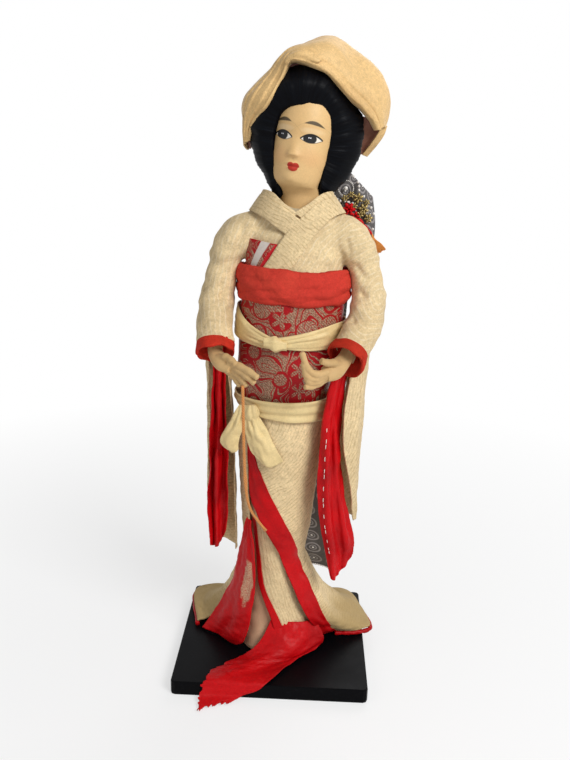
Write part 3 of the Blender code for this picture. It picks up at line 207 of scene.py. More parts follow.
def grid_object(name, points, ring=False, caps=False):
    """An object of quads on a grid, its UV map in tenths of a metre along the cloth."""
    rows, across = points.shape[:2]
    wide = across if ring else across - 1
    r, i = np.meshgrid(np.arange(rows - 1), np.arange(wide), indexing="ij")
    j = (i + 1) % across
    corners = np.stack([r * across + i, r * across + j, (r + 1) * across + j, (r + 1) * across + i],
                       axis=-1).reshape(-1, 4)
    u, v = spans(points, ring)
    places = np.stack([np.stack([u[i], v[r]], -1), np.stack([u[i + 1], v[r]], -1),
                       np.stack([u[i + 1], v[r + 1]], -1), np.stack([u[i], v[r + 1]], -1)],
                      axis=-2).reshape(-1, 2) / CLOTH_UNIT
    verts = lift(points).tolist()
    faces = corners.tolist()
    if caps:
        for row, turned in ((0, True), (rows - 1, False)):
            verts.append(np.mean(lift(points[row]), axis=0).tolist())
            hub = len(verts) - 1
            line = [row * across + k for k in range(across)]
            for k in range(across):
                a, b = line[k], line[(k + 1) % across]
                faces.append((b, a, hub) if turned else (a, b, hub))
                places = np.concatenate([places, np.zeros((3, 2))])
    mesh = bpy.data.meshes.new(name)
    mesh.from_pydata(verts, [], faces)
    layer = mesh.uv_layers.new(name="cloth")
    layer.data.foreach_set("uv", places.astype(np.float32).ravel())
    mesh.shade_smooth()
    return link_mesh(name, mesh)


def apply_modifiers(made):
    """Apply all modifiers of one object."""
    bpy.ops.object.select_all(action="DESELECT")
    made.select_set(True)
    bpy.context.view_layer.objects.active = made
    for step in list(made.modifiers):
        bpy.ops.object.modifier_apply(modifier=step.name)
    made.select_set(False)


def face_out(made):
    """Turn every face outwards."""
    form = bmesh.new()
    form.from_mesh(made.data)
    bmesh.ops.recalc_face_normals(form, faces=form.faces)
    form.to_mesh(made.data)
    form.free()


def finish_piece(made, kind, nodes):
    """Give a piece its finish, hang it under the body, and hide the nodes it stands for."""
    made.data.materials.clear()
    made.data.materials.append(finish(kind))
    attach(made, BODY_NAME)
    if nodes:
        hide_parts(*nodes)


def joined(name, parts):
    """Several meshes as one object."""
    bpy.ops.object.select_all(action="DESELECT")
    for part in parts:
        part.select_set(True)
    bpy.context.view_layer.objects.active = parts[0]
    bpy.ops.object.join()
    made = bpy.context.active_object
    made.select_set(False)
    made.name = name
    return made


def fused(name, parts, voxel, factor, rounds):
    """Closed parts joined into one skin and smoothed."""
    for part in parts:
        face_out(part)
    made = joined(name, parts)
    skin = made.modifiers.new("skin", "REMESH")
    skin.mode = "VOXEL"
    skin.voxel_size = voxel * MM
    ease = made.modifiers.new("ease", "SMOOTH")
    ease.factor = factor
    ease.iterations = rounds
    apply_modifiers(made)
    made.data.shade_smooth()
    return made


def add_wall(made, thick, offset=0):
    """Give open faces a wall of some millimetres."""
    wall = made.modifiers.new("cloth", "SOLIDIFY")
    wall.thickness = thick * MM
    wall.offset = offset
    wall.use_even_offset = False
    apply_modifiers(made)


def thick_grid(name, rows, thick, relief=None, ring=False):
    """A grid of points as a closed thin wall, and its millimetres across and down."""
    points = grid_points(rows)
    if relief:
        points = raised(points, relief, ring)
    made = grid_object(name, points, ring)
    add_wall(made, thick)
    face_out(made)
    along, down = spans(points, ring)
    return made, (along[-1], down[-1])


def cloth(name, rows, kind, nodes, held, thick=0, ring=False, relief=None, rests=(), slot=None):
    """A sheet of cloth on a grid of points, thickened and dressed, with the nodes it stands for hidden."""
    made, sides = thick_grid(name, rows, thick or bpy.context.scene.doll_sizes.cloth / MM, relief, ring)
    finish_piece(made, kind, nodes)


def closed_piece(name, rings, kind, node):
    """A closed, dressed form through rings of points."""
    made = grid_object(name, grid_points(rings), ring=True, caps=True)
    face_out(made)
    finish_piece(made, kind, [node])
    return made


def padded_piece(name, rings, kind, node):
    """A closed form for a stuffed piece, made as any closed piece."""
    closed_piece(name, rings, kind, node)


def frame_along(points):
    """Centre, side and over direction at each point of a route, turning as little as they can."""
    frames = []
    side = None
    for i, point in enumerate(points):
        ahead = Vector(points[min(i + 1, len(points) - 1)]) - Vector(points[max(i - 1, 0)])
        ahead.normalize()
        if side is None:
            side = Vector((0, 1, 0)).cross(ahead).normalized()
        side = (side - ahead * side.dot(ahead)).normalized()
        frames.append((Vector(point), side, ahead.cross(side)))
    return frames


def pipe_rings(points, radii, sides):
    """Oval rings along a route; each radius pair is across and along the side direction."""
    rings = []
    for (centre, side, over), (wide, deep) in zip(frame_along(points), radii):
        rings.append([centre + side * (wide * cos(2 * pi * i / sides))
                      + over * (deep * sin(2 * pi * i / sides)) for i in range(sides)])
    return rings


def pair_route(pairs, count):
    """Pairs of radii, resampled like a route."""
    return [(p.x, p.y) for p in resample([(a, b, 0) for a, b in pairs], count)]


def ball_rings(centre, radii, rows, sides):
    """The rings of an egg shape, without its two poles."""
    rings = []
    for k in range(1, rows):
        lat = -pi / 2 + pi * k / rows
        rings.append([Vector(centre) + Vector((radii[0] * cos(lat) * cos(2 * pi * i / sides),
                                               radii[1] * cos(lat) * sin(2 * pi * i / sides),
                                               radii[2] * sin(lat))) for i in range(sides)])
    return rings


# Body sections: height, centre x, centre y, half width, half depth

BODY = [
    (56, -1, 4, 14.9, 15.5), (66, -1, 3.5, 16.4, 16.5), (90, 0, 3, 18.7, 17.75),
    (120, 0.5, 2, 21, 19), (155, 1.6, 1, 23.6, 20), (176, 2.7, 0, 22.6, 19.4),
    (183.5, 2.9, 0, 24.4, 21), (217, 5.2, 0, 28.7, 21.5), (252, 7.3, 0, 28.5, 21),
    (275, 7.5, 0.5, 29.5, 18), (288, 7.5, 1.5, 30.5, 16), (297, 8, 2.5, 29.5, 13.5),
    (302, 8.5, 3, 25, 11), (306, 10, 3, 9.5, 8)]
LOW_BODY = [(-1, -1, 1, 22.5, 24.5), (30, -1.5, 3, 19, 19.8)] + BODY[1:8]
UNDER_PROFILE = [(10, 2.5, 2, 28, 25), (30, 1.5, 2.6, 23, 21.6),
                 (46, 0, 3.3, 18.6, 18.9)] + BODY[1:8]
COLLAR = BODY[:11] + [(297, 8, 2, 28.8, 16.6), (304, 8, 2.5, 23.8, 16.4),
                      (311, 8, 3, 19.5, 15.5), (318, 8.5, 4, 17.5, 14.5)]
SKIRT_TOP = 181.1
OUTER_OUT = 4.7
UNDER_OUT = 2.7
OBI_OUT = 3.3
BAND_OUT = 5.9
SASH_OUT = 7.4


def body_point(table, angle, z, out):
    """A point standing out from the body's oval at an angle, counter-clockwise from +X."""
    cx, cy, a, b = table_at(table, z)
    return Vector((cx + (a + out) * cos(radians(angle)), cy + (b + out) * sin(radians(angle)), z))


def body_front(x, z, out):
    """A point in front of the body at x and z."""
    cx, cy, a, b = table_at(BODY, z)
    across = min(max((x - cx) / (a + out), -0.999), 0.999)
    return Vector((x, cy - (b + out) * sqrt(1 - across * across), z))


def along(table, z):
    """The angle of a slanting edge at a height."""
    rows = sorted(table)
    if z <= rows[0][0]:
        return rows[0][1]
    for low, high in zip(rows, rows[1:]):
        if z <= high[0]:
            return low[1] + (high[1] - low[1]) * (z - low[0]) / (high[0] - low[0])
    return rows[-1][1]


# Materials

def add(tree, kind, links=None, **settings):
    """Add a node, set its properties, and link or set its inputs."""
    made = tree.nodes.new(kind)
    for key, value in settings.items():
        setattr(made, key, value)
    for socket, source in (links or {}).items():
        if isinstance(source, bpy.types.NodeSocket):
            tree.links.new(source, made.inputs[socket])
        else:
            made.inputs[socket].default_value = source
    return made


def blank(name, roughness, **constants):
    """A new material, its tree and its shader, with constants on the shader's own sockets."""
    made = bpy.data.materials.new(name)
    made.use_nodes = True
    tree = made.node_tree
    shader = tree.nodes["Principled BSDF"]
    shader.inputs["Roughness"].default_value = roughness
    for key, value in constants.items():
        shader.inputs[key.replace("_", " ")].default_value = value
    return made, tree, shader


def maths(tree, operation, a, b=None):
    """One step of sums on shader values."""
    sources = {0: a} if b is None else {0: a, 1: b}
    return add(tree, "ShaderNodeMath", sources, operation=operation).outputs[0]


def plus(tree, a, b):
    return maths(tree, "ADD", a, b)


def minus(tree, a, b):
    return maths(tree, "SUBTRACT", a, b)


def times(tree, a, b):
    return maths(tree, "MULTIPLY", a, b)


def larger(tree, a, b):
    return maths(tree, "MAXIMUM", a, b)


def unsigned(tree, a):
    return maths(tree, "ABSOLUTE", a)


def apart(tree, source):
    """The three parts of a place."""
    return add(tree, "ShaderNodeSeparateXYZ", {0: source}).outputs


def bump_by(tree, shader, height, strength, distance):
    """Bump the shader by a height, distance in metres."""
    bump = add(tree, "ShaderNodeBump", {"Height": height, "Strength": strength, "Distance": distance})
    tree.links.new(bump.outputs[0], shader.inputs["Normal"])


def blend_colours(tree, factor, a, b):
    """The first colour at 0, the second at 1."""
    return add(tree, "ShaderNodeMix", {0: factor, 6: a, 7: b}, data_type="RGBA").outputs[2]


def remap(tree, value, low, high, to_low=0, to_high=1):
    """A value taken from one range to another, held at its ends."""
    return add(tree, "ShaderNodeMapRange", {0: value, 1: low, 2: high, 3: to_low, 4: to_high}).outputs[0]


def noise_of(tree, coordinates, millimetres, detail=2, unit=OBJECT_UNIT, distortion=0):
    """Noise with features of about the given size."""
    return add(tree, "ShaderNodeTexNoise", {"Vector": coordinates, "Scale": unit / millimetres,
                                            "Detail": detail, "Distortion": distortion}).outputs[0]


def shades(colour, factor):
    """The colour, darker under 1 and lighter over 1."""
    return tuple(min(c * factor, 1.0) for c in colour[:3]) + (1.0,)


def object_place(tree):
    """The object coordinates, in metres."""
    return add(tree, "ShaderNodeTexCoord").outputs["Object"]


def cloth_place(tree):
    """The place on the unrolled cloth."""
    return add(tree, "ShaderNodeUVMap", uv_map="cloth").outputs[0]


def silk(name, colour, roughness, pucker, depth, mottle=0.12, stain_and_shade_tint="#8A6A3C", stain_and_shade_weight=0.25, sheen=0.08,
         lines=None, gloss=0.25, low=None):
    """Woven silk: pucker in millimetres, depth of its relief, soft stains of age; on the red silk and the
    hood linings the same dark patches are painted shade.

    lines gives a tint, a pitch in millimetres, a strength and the centre of the woven arcs.
    """
    made, tree, shader = blank(name, roughness, Sheen_Weight=sheen, Sheen_Roughness=0.4,
                               Specular_IOR_Level=gloss)
    place = object_place(tree)
    fine = noise_of(tree, place, pucker, 3)
    grain = noise_of(tree, place, pucker * 2.6, 2)
    broad = noise_of(tree, place, 16, 3)
    stain_and_shade_noise = noise_of(tree, place, 42, 4, distortion=0.6)
    both = plus(tree, times(tree, fine, 0.6), times(tree, grain, 0.4))
    light = blend_colours(tree, remap(tree, both, 0.36, 0.64), shades(colour, 1 - mottle),
                          shades(colour, 1 + mottle * 0.7))
    soft = blend_colours(tree, remap(tree, broad, 0.35, 0.7, 0, 0.4), light, shades(colour, 0.72))
    # Stains of age, and on the red silk and hood linings dark patches of painted shade
    tone = blend_colours(tree, remap(tree, stain_and_shade_noise, 0.48, 0.76, 0, stain_and_shade_weight), soft, linear(stain_and_shade_tint))
    height = both
    if lines:
        tint, pitch, strength, centre = lines
        shifted = add(tree, "ShaderNodeMapping", {"Vector": place, "Location": centre}).outputs[0]
        wave = add(tree, "ShaderNodeTexWave",
                   {"Vector": shifted, "Scale": WAVE_PITCH / pitch, "Distortion": 9, "Detail": 2,
                    "Detail Scale": 0.5}, wave_type="RINGS", rings_direction="Y").outputs[1]
        line = remap(tree, wave, 0.72, 0.98, 0, strength)
        broken = times(tree, line, remap(tree, noise_of(tree, place, 3, 2), 0.35, 0.6))
        tone = blend_colours(tree, broken, tone, linear(tint))
        height = plus(tree, both, times(tree, wave, 0.18))
    # low gives a tint that the tone turns to below a height: darker tan towards the deck
    if low:
        tint, bottom, top = low
        rise = apart(tree, place)[2]
        wander = times(tree, minus(tree, broad, 0.5), 0.02)
        share = remap(tree, plus(tree, rise, wander), bottom, top, 0.85, 0)
        tone = blend_colours(tree, share, tone, linear(tint))
    tree.links.new(tone, shader.inputs["Base Color"])
    bump_by(tree, shader, height, depth, 0.0005)
    return made


FINISHES = {}


def finish(name):
    """Each finish is made once, on its first use."""
    if name not in FINISHES:
        FINISHES[name] = FINISH_MAKERS[name]()
    return FINISHES[name]


def cream_crepe():
    # Chirimen silk crepe: puckered and matt, so it scatters light and shows a pebbled grain
    return silk("cream_silk_crepe", colours().cream, 0.9, 1.1, 0.75, 0.2,
                lines=("#9C7C4C", 2.1, 0.5, (0.055, 0, -0.205)))


def skirt_crepe():
    # The crepe of the kimono, turning a darker tan towards the deck
    return silk("skirt_silk_crepe", shades(colours().cream, 1.1), 0.88, 1.1, 0.75, 0.2,
                lines=("#9C7C4C", 2.1, 0.5, (0.055, 0, -0.205)), low=("#A68C5C", 0.026, 0.044))


def mauve_silk():
    # Thin silk turned inwards: dull red brown, painted darker with near-black patches as the shade inside the
    # hood
    return silk("mauve_hood_band", linear("#9A6A58"), 0.8, 1, 0.35, 0.1, "#3A2420", 0.5)


def stitch_thread():
    # White cotton basting thread
    return silk("white_cotton_thread", linear("#E9E4DC"), 0.8, 0.6, 0.2, 0.06, "#B8A890", 0.2)


def orange_floss():
    # Untwisted orange silk floss
    return silk("orange_silk_floss", linear("#D98B3E"), 0.55, 0.6, 0.5, 0.2, "#9A4A1C", 0.3)


def chest_crepe():
    # The same crepe with pale woven arcs over the left breast
    return silk("chest_silk_crepe", colours().cream, 0.9, 1.1, 0.7, 0.2,
                lines=("#F0E6CC", 3, 0.3, (-0.062, 0, -0.262)))


def underskirt_crepe():
    # Ribbed crepe: ribs run down the panel
    return silk("ribbed_silk_crepe", shades(colours().cream, 1.02), 0.9, 1.1, 0.7, 0.16, stain_and_shade_tint="#B0705C",
                stain_and_shade_weight=0.4, lines=("#A88458", 1.8, 0.45, (-0.24, 0, -0.14)))


def hood_silk():
    # Habutae silk: smooth, with a soft gloss and honey stains of age
    return silk("hood_habutae_silk", colours().hood, 0.55, 0.8, 0.4, 0.2, "#9A6C34", 0.8, 0.1, gloss=0.3)


def sash_silk():
    # Satin silk: smooth, catches light along the pleats
    return silk("sash_satin_silk", colours().sash, 0.5, 0.8, 0.3, 0.1, "#B08C58", 0.4, 0.08, gloss=0.4)


def red_silk():
    # Thin dyed satin: saturated and glossy on the folds; its broad near-black patches are painted shade
    # standing in for the hollows
    return silk("red_lining_silk", colours().red, 0.45, 0.7, 0.3, 0.14, "#5A0004", 0.55, 0, gloss=0.16)


def cuff_crepe():
    # Dyed crepe, faded towards orange
    return silk("cuff_silk_crepe", linear("#C23020"), 0.8, 0.9, 0.6, 0.16, "#7A2A14", 0.5, 0, gloss=0.12)


def obiage_crepe():
    # Dyed crepe: matt, pebbled
    return silk("obiage_silk_crepe", colours().obiage, 0.85, 0.9, 0.7, 0.16, "#D4543A", 0.3, 0, gloss=0.2)


def blush_silk():
    # Thin plain silk, pale pink
    return silk("blush_silk", linear("#D8B08C"), 0.75, 1, 0.35, 0.08, "#A8705A", 0.45)


def russet_silk():
    # Lining silk: dull red brown, painted darker with near-black patches as the shade inside the hood
    return silk("russet_hood_lining", linear("#8A4A34"), 0.75, 1, 0.35, 0.12, "#3A1C14", 0.5)


def padding_cotton():
    # Wound cotton: hidden body, legs and arm wires
    return silk("wound_cotton_padding", linear("#C8B898"), 0.95, 2, 0.6, 0.1, "#8A7450", 0.3)


def colours():
    """The colours that the user has set."""
    return bpy.context.scene.doll_colours


def brocade_tree(name, repeat=17):
    """Red satin ground; silver-beige leaves, blossoms and double contour lines, and a fine weft."""
    made, tree, shader = blank(name, 0.5, Specular_IOR_Level=0.22)
    place = cloth_place(tree)
    swell = noise_of(tree, place, repeat, 0.4, CLOTH_UNIT, 0.5)
    gap = unsigned(tree, minus(tree, maths(tree, "FRACT", times(tree, swell, 7)),
                                        0.5))
    lines = minus(tree, remap(tree, gap, 0.25, 0.21), remap(tree, gap, 0.14, 0.11))
    leaves = add(tree, "ShaderNodeTexVoronoi", {"Vector": place, "Scale": CLOTH_UNIT / (repeat * 0.86),
                                                "Randomness": 0.85})
    tones = add(tree, "ShaderNodeSeparateColor", {0: leaves.outputs["Color"]}).outputs
    shown = remap(tree, tones[0], 0.36, 0.38)
    body = times(tree, remap(tree, leaves.outputs["Distance"], 0.48, 0.46), shown)
    moat = times(tree, remap(tree, leaves.outputs["Distance"], 0.56, 0.54), shown)
    off = add(tree, "ShaderNodeVectorMath", {0: place, 1: leaves.outputs["Position"]},
              operation="SUBTRACT").outputs[0]
    off = apart(tree, off)
    angle = maths(tree, "ARCTAN2", off[1], off[0])
    petals = maths(tree, "COSINE", times(tree, angle, 5))
    edge = plus(tree, 0.37, times(tree, petals, 0.11))
    blossom = remap(tree, minus(tree, leaves.outputs["Distance"], edge), 0.02, -0.01)
    eye = remap(tree, unsigned(tree, minus(tree, leaves.outputs["Distance"], 0.11)), 0.04, 0.03)
    blossom = times(tree, blossom, minus(tree, 1, eye))
    rib = remap(tree, unsigned(tree, maths(tree, "SINE", times(tree, angle, 2.5))), 0.07, 0.14)
    blossom = times(tree, blossom, rib)
    twist = plus(tree, times(tree, angle, 3), times(tree, leaves.outputs["Distance"], 9))
    vein = remap(tree, unsigned(tree, maths(tree, "SINE", twist)), 0.1, 0.25)
    kind = remap(tree, tones[1], 0.68, 0.7)
    leaf, flower = times(tree, body, vein), times(tree, blossom, shown)
    figure = add(tree, "ShaderNodeMix", {0: kind, 2: leaf, 3: flower}).outputs[0]
    zigzag = add(tree, "ShaderNodeTexWave", {"Vector": place, "Scale": 34, "Distortion": 3,
                                             "Detail Scale": 4}, bands_direction="DIAGONAL").outputs[1]
    figure = times(tree, figure, remap(tree, zigzag, 0.15, 0.55, 0.25, 1))
    patch = remap(tree, noise_of(tree, place, repeat * 1.3, 0, CLOTH_UNIT), 0.5, 0.53)
    bands = times(tree, times(tree, remap(tree, gap, 0.27, 0.3), patch),
                  remap(tree, zigzag, 0.1, 0.5, 0.45, 1))
    strokes = larger(tree, lines, bands)
    silver = larger(tree, figure, times(tree, strokes, minus(tree, 1, moat)))
    weft = add(tree, "ShaderNodeTexWave", {"Vector": place, "Scale": 45, "Distortion": 0.8,
                                           "Detail": 1}, bands_direction="Y").outputs[1]
    grain = noise_of(tree, place, 0.9, 2, CLOTH_UNIT)
    thread = blend_colours(tree, remap(tree, grain, 0.35, 0.65), linear("#6E5A44"), linear("#BBA486"))
    ground = blend_colours(tree, remap(tree, grain, 0.3, 0.7), linear("#8C040C"), linear("#B80A14"))
    tone = blend_colours(tree, silver, ground, thread)
    tone = blend_colours(tree, remap(tree, weft, 0, 1, 0, 0.2), tone, linear("#2A0406"))
    height = plus(tree, times(tree, silver, 0.7), times(tree, weft, 0.3))
    bump_by(tree, shader, height, 0.5, 0.0003)
    tree.links.new(remap(tree, silver, 0, 1, 0.5, 0.38), shader.inputs["Roughness"])
    return made, tree, shader, tone


def obi_brocade():
    # Jacquard brocade: red ground, metal-wrapped weft in scrolls, each a little raised
    made, tree, shader, tone = brocade_tree("obi_silk_brocade")
    tree.links.new(tone, shader.inputs["Base Color"])
    return made


def pouch_brocade():
    # The same brocade with a broad silver stripe across the case
    made, tree, shader, tone = brocade_tree("case_silk_brocade", 8)
    place = apart(tree, cloth_place(tree))
    slant = minus(tree, place[0], times(tree, place[1], 0.25))
    stripe = times(tree, remap(tree, slant, 0.05, 0.054), remap(tree, slant, 0.106, 0.1))
    edge = remap(tree, slant, 0.13, 0.136)
    tone = blend_colours(tree, stripe, tone, linear("#CDC3BA"))
    tone = blend_colours(tree, edge, tone, linear("#C21420"))
    tree.links.new(tone, shader.inputs["Base Color"])
    return made


def ring_brocade():
    # Dark grey figured silk with woven ring roundels and a bead-white centre
    made, tree, shader = blank("grey_ring_brocade", 0.6, Sheen_Weight=0.2)
    place = apart(tree, cloth_place(tree))
    cell = 0.118
    x = minus(tree, maths(tree, "FRACT", maths(tree, "DIVIDE", place[0], cell)), 0.5)
    y = minus(tree, maths(tree, "FRACT", maths(tree, "DIVIDE", place[1], cell)), 0.5)
    far = maths(tree, "SQRT", plus(tree, times(tree, x, x),
                                    times(tree, y, y)))
    outer = remap(tree, unsigned(tree, minus(tree, far, 0.36)), 0.055, 0.035)
    inner = remap(tree, unsigned(tree, minus(tree, far, 0.17)), 0.035, 0.02)
    dot = remap(tree, far, 0.06, 0.045)
    grain = noise_of(tree, cloth_place(tree), 0.9, 2, CLOTH_UNIT)
    base = blend_colours(tree, remap(tree, grain, 0.3, 0.7), shades(colours().grey, 0.8),
                         shades(colours().grey, 1.25))
    tone = blend_colours(tree, larger(tree, outer, inner), base, linear("#8C8685"))
    tone = blend_colours(tree, dot, tone, linear("#E8E4DE"))
    tree.links.new(tone, shader.inputs["Base Color"])
    bump_by(tree, shader, grain, 0.4, 0.0003)
    return made


def worn_red_silk():
    # Red lining rubbed through to its pale backing in a patch
    made, tree, shader = blank("worn_red_lining", 0.5, Specular_IOR_Level=0.16)
    place = cloth_place(tree)
    parts = apart(tree, place)
    grain = noise_of(tree, place, 0.9, 3, CLOTH_UNIT)
    ragged = noise_of(tree, place, 7, 4, CLOTH_UNIT, 1)
    dx = maths(tree, "DIVIDE", minus(tree, parts[0], 0.205), 0.06)
    dy = maths(tree, "DIVIDE", minus(tree, parts[1], 0.56), 0.2)
    far = plus(tree, times(tree, dx, dx), times(tree, dy, dy))
    worn = remap(tree, plus(tree, far, times(tree, ragged, 1.3)), 1.45, 1.15, 0, 0.9)
    base = blend_colours(tree, remap(tree, grain, 0.3, 0.7), shades(colours().red, 0.85),
                         shades(colours().red, 1.15))
    pale = blend_colours(tree, remap(tree, grain, 0.35, 0.6), linear("#B5543E"), linear("#CDB493"))
    tone = blend_colours(tree, worn, base, pale)
    tree.links.new(tone, shader.inputs["Base Color"])
    bump_by(tree, shader, grain, 0.3, 0.0003)
    return made


def board_lacquer():
    # Black lacquer on wood, gone satin: near black, with dust and rubbed clouds
    made, tree, shader = blank("black_lacquered_wood", 0.38, Specular_IOR_Level=0.05)
    place = object_place(tree)
    dust = noise_of(tree, place, 1.6, 5)
    cloud = noise_of(tree, place, 30, 3)
    tone = blend_colours(tree, remap(tree, dust, 0.58, 0.78, 0, 0.12), colours().lacquer,
                         linear("#33363C"))
    tree.links.new(tone, shader.inputs["Base Color"])
    tree.links.new(remap(tree, cloud, 0.3, 0.7, 0.3, 0.5), shader.inputs["Roughness"])
    bump_by(tree, shader, cloud, 0.06, 0.0008)
    return made


def hair_floss():
    # Black silk floss combed back: fine strands, with blue-grey streaks painted in as sheen
    made, tree, shader = blank("black_silk_floss_hair", 0.4, Specular_IOR_Level=0.05)
    place = cloth_place(tree)
    combed = add(tree, "ShaderNodeMapping", {"Vector": place, "Scale": (1, 0.03, 1)}).outputs[0]
    strand = noise_of(tree, combed, 0.5, 3, CLOTH_UNIT)
    lock = noise_of(tree, combed, 4, 2, CLOTH_UNIT)
    # Painted sheen: blue-grey streaks along the strands
    tone = blend_colours(tree, remap(tree, strand, 0.45, 0.8, 0, 0.4), colours().hair, linear("#101820"))
    tree.links.new(tone, shader.inputs["Base Color"])
    both = plus(tree, times(tree, strand, 0.7), times(tree, lock, 0.3))
    bump_by(tree, shader, both, 0.5, 0.0005)
    return made


def hand_skin():
    # Painted silk over wire and cotton: matt, slightly darker than the face, with soft stains
    return silk("painted_silk_hand", shades(colours().skin, 0.9), 0.6, 0.8, 0.2, 0.05, "#9A7040", 0.35, 0.1)


def spot(tree, x, y, cx, cy, rx, ry, soft=0.1):
    """A filled oval: 1 inside and 0 outside."""
    dx = maths(tree, "DIVIDE", minus(tree, x, cx), rx)
    dy = maths(tree, "DIVIDE", minus(tree, y, cy), ry)
    far = plus(tree, times(tree, dx, dx), times(tree, dy, dy))
    return remap(tree, far, 1 + soft, 1 - soft)


def arch(tree, x, cx, half, height):
    """A parabola over cx that falls to nothing at half on either side."""
    dx = maths(tree, "DIVIDE", minus(tree, x, cx), half)
    return times(tree, minus(tree, 1, times(tree, dx, dx)), height)


def painted_face():
    # Gofun-like paint on silk: eggshell skin, brushed brows, eyes and lips
    made, tree, shader = blank("painted_silk_face", 0.48, Specular_IOR_Level=0.3)
    parts = apart(tree, cloth_place(tree))
    x = times(tree, minus(tree, parts[0], 0.5), CLOTH_UNIT)
    h = times(tree, minus(tree, parts[1], 0.5), CLOTH_UNIT)
    place = object_place(tree)
    skin = colours().skin
    fine = noise_of(tree, place, 0.9, 3)
    broad = noise_of(tree, place, 14, 3)
    tone = blend_colours(tree, remap(tree, fine, 0.3, 0.7), shades(skin, 0.96), shades(skin, 1.06))
    tone = blend_colours(tree, remap(tree, broad, 0.4, 0.75, 0, 0.3), tone, linear("#C99A62"))
    for side in (-1, 1):
        cx = side * EYE_SPREAD
        rise = minus(tree, minus(tree, h, EYE_HEIGHT),
                     times(tree, minus(tree, x, cx), 0.05 * side))
        halo = spot(tree, x, h, cx, EYE_HEIGHT + 4.6, 5.6, 1.6, 0.8)
        tone = blend_colours(tree, times(tree, halo, 0.3), tone, linear("#F0DDBA"))
        upper = arch(tree, x, cx, 6, 2.6)
        lower = arch(tree, x, cx + 0.2, 6, 2.2)
        under_lid = remap(tree, minus(tree, upper, rise), -0.1, 0.1)
        over_lid = remap(tree, plus(tree, lower, rise), -0.1, 0.1)
        eye = times(tree, under_lid, over_lid)
        tone = blend_colours(tree, eye, tone, linear("#E4DCCE"))
        iris = times(tree, eye, spot(tree, x, h, cx - 0.7, EYE_HEIGHT + 0.3, 3.7, 3.3))
        tone = blend_colours(tree, iris, tone, linear("#060607"))
        lid_gap = unsigned(tree, minus(tree, upper, rise))
        inside = remap(tree, unsigned(tree, minus(tree, x, cx)), 6.3, 5.9)
        lid = times(tree, remap(tree, lid_gap, 0.6, 0.45), inside)
        tone = blend_colours(tree, lid, tone, linear("#060607"))
        low_gap = unsigned(tree, plus(tree, lower, rise))
        lash = times(tree, remap(tree, low_gap, 0.3, 0.12), inside)
        tone = blend_colours(tree, times(tree, lash, 0.75), tone, linear("#2A1E16"))
        for shift in (-1.2, -0.2):
            glint = spot(tree, x, h, cx + shift, EYE_HEIGHT + 0.7, 0.3, 0.36, 0.4)
            tone = blend_colours(tree, glint, tone, linear("#E8E8EE"))
        slope = times(tree, minus(tree, x, cx), 0.06 * -side)
        brow_line = plus(tree, arch(tree, x, cx + side * (0.9 if side < 0 else 0.3), 6.2, 1.8), slope)
        brow_gap = unsigned(tree, minus(tree, minus(tree, h, EYE_HEIGHT + 7.4),
                                                 brow_line))
        thick = larger(tree, arch(tree, x, cx + side * 0.8, 5.4 if side < 0 else 5.8, 1.15), 0)
        brow = remap(tree, minus(tree, brow_gap, thick), 0.15, -0.3, 0, 0.9)
        tone = blend_colours(tree, brow, tone, linear("#26241C"))
        cheek = spot(tree, x, h, side * 9.8, MOUTH_HEIGHT + 6, 6, 4.5, 0.95)
        tone = blend_colours(tree, times(tree, cheek, 0.16), tone, linear("#D88A5C"))
    size = unsigned(tree, minus(tree, x, 1))
    peak = spot(tree, size, h, 1.5, MOUTH_HEIGHT + 0.7, 1.9, 1.4, 0.2)
    ends = spot(tree, size, h, 2, MOUTH_HEIGHT + 0.3, 1.7, 1.1, 0.2)
    bottom = spot(tree, x, h, 1, MOUTH_HEIGHT - 0.8, 3, 2.2, 0.15)
    lips = larger(tree, larger(tree, peak, ends), bottom)
    line_gap = unsigned(tree, minus(tree, h, MOUTH_HEIGHT - 0.2))
    parting = times(tree, remap(tree, line_gap, 0.35, 0.1), remap(tree, size, 3.9, 3.5))
    tone = blend_colours(tree, lips, tone, linear("#AE2C1C"))
    tone = blend_colours(tree, times(tree, parting, 0.55), tone, linear("#7E1A12"))
    tree.links.new(tone, shader.inputs["Base Color"])
    bump_by(tree, shader, fine, 0.12, 0.0003)
    return made


def cord_braid():
    # Braided silk cord: chevron ridges along its length
    made, tree, shader = blank("orange_silk_braid", 0.7, Sheen_Weight=0.3)
    place = object_place(tree)
    plait = add(tree, "ShaderNodeTexWave", {"Vector": place, "Scale": 420, "Distortion": 3},
                bands_direction="DIAGONAL").outputs[1]
    tone = blend_colours(tree, remap(tree, plait, 0.2, 0.8), shades(colours().cord, 0.88),
                         shades(colours().cord, 1.08))
    tree.links.new(tone, shader.inputs["Base Color"])
    bump_by(tree, shader, plait, 0.6, 0.0003)
    return made


def bead_pearl():
    # Glass bead with pearl dip: bright, coated, faint warm and cool patches
    made, tree, shader = blank("pearl_glass_bead", 0.25, Coat_Weight=0.6, Coat_Roughness=0.1)
    tone = blend_colours(tree, noise_of(tree, object_place(tree), 1.5), linear("#C8C2BC"), linear("#F2EEE8"))
    tree.links.new(tone, shader.inputs["Base Color"])
    return made


def gilt_thread():
    # Gilt paper thread, tarnished to bronze
    made, tree, shader = blank("tarnished_gilt_thread", 0.4, Metallic=0.8)
    tone = blend_colours(tree, noise_of(tree, object_place(tree), 1.2, 3), linear("#6E5A30"),
                         linear("#C4B078"))
    tree.links.new(tone, shader.inputs["Base Color"])
    return made


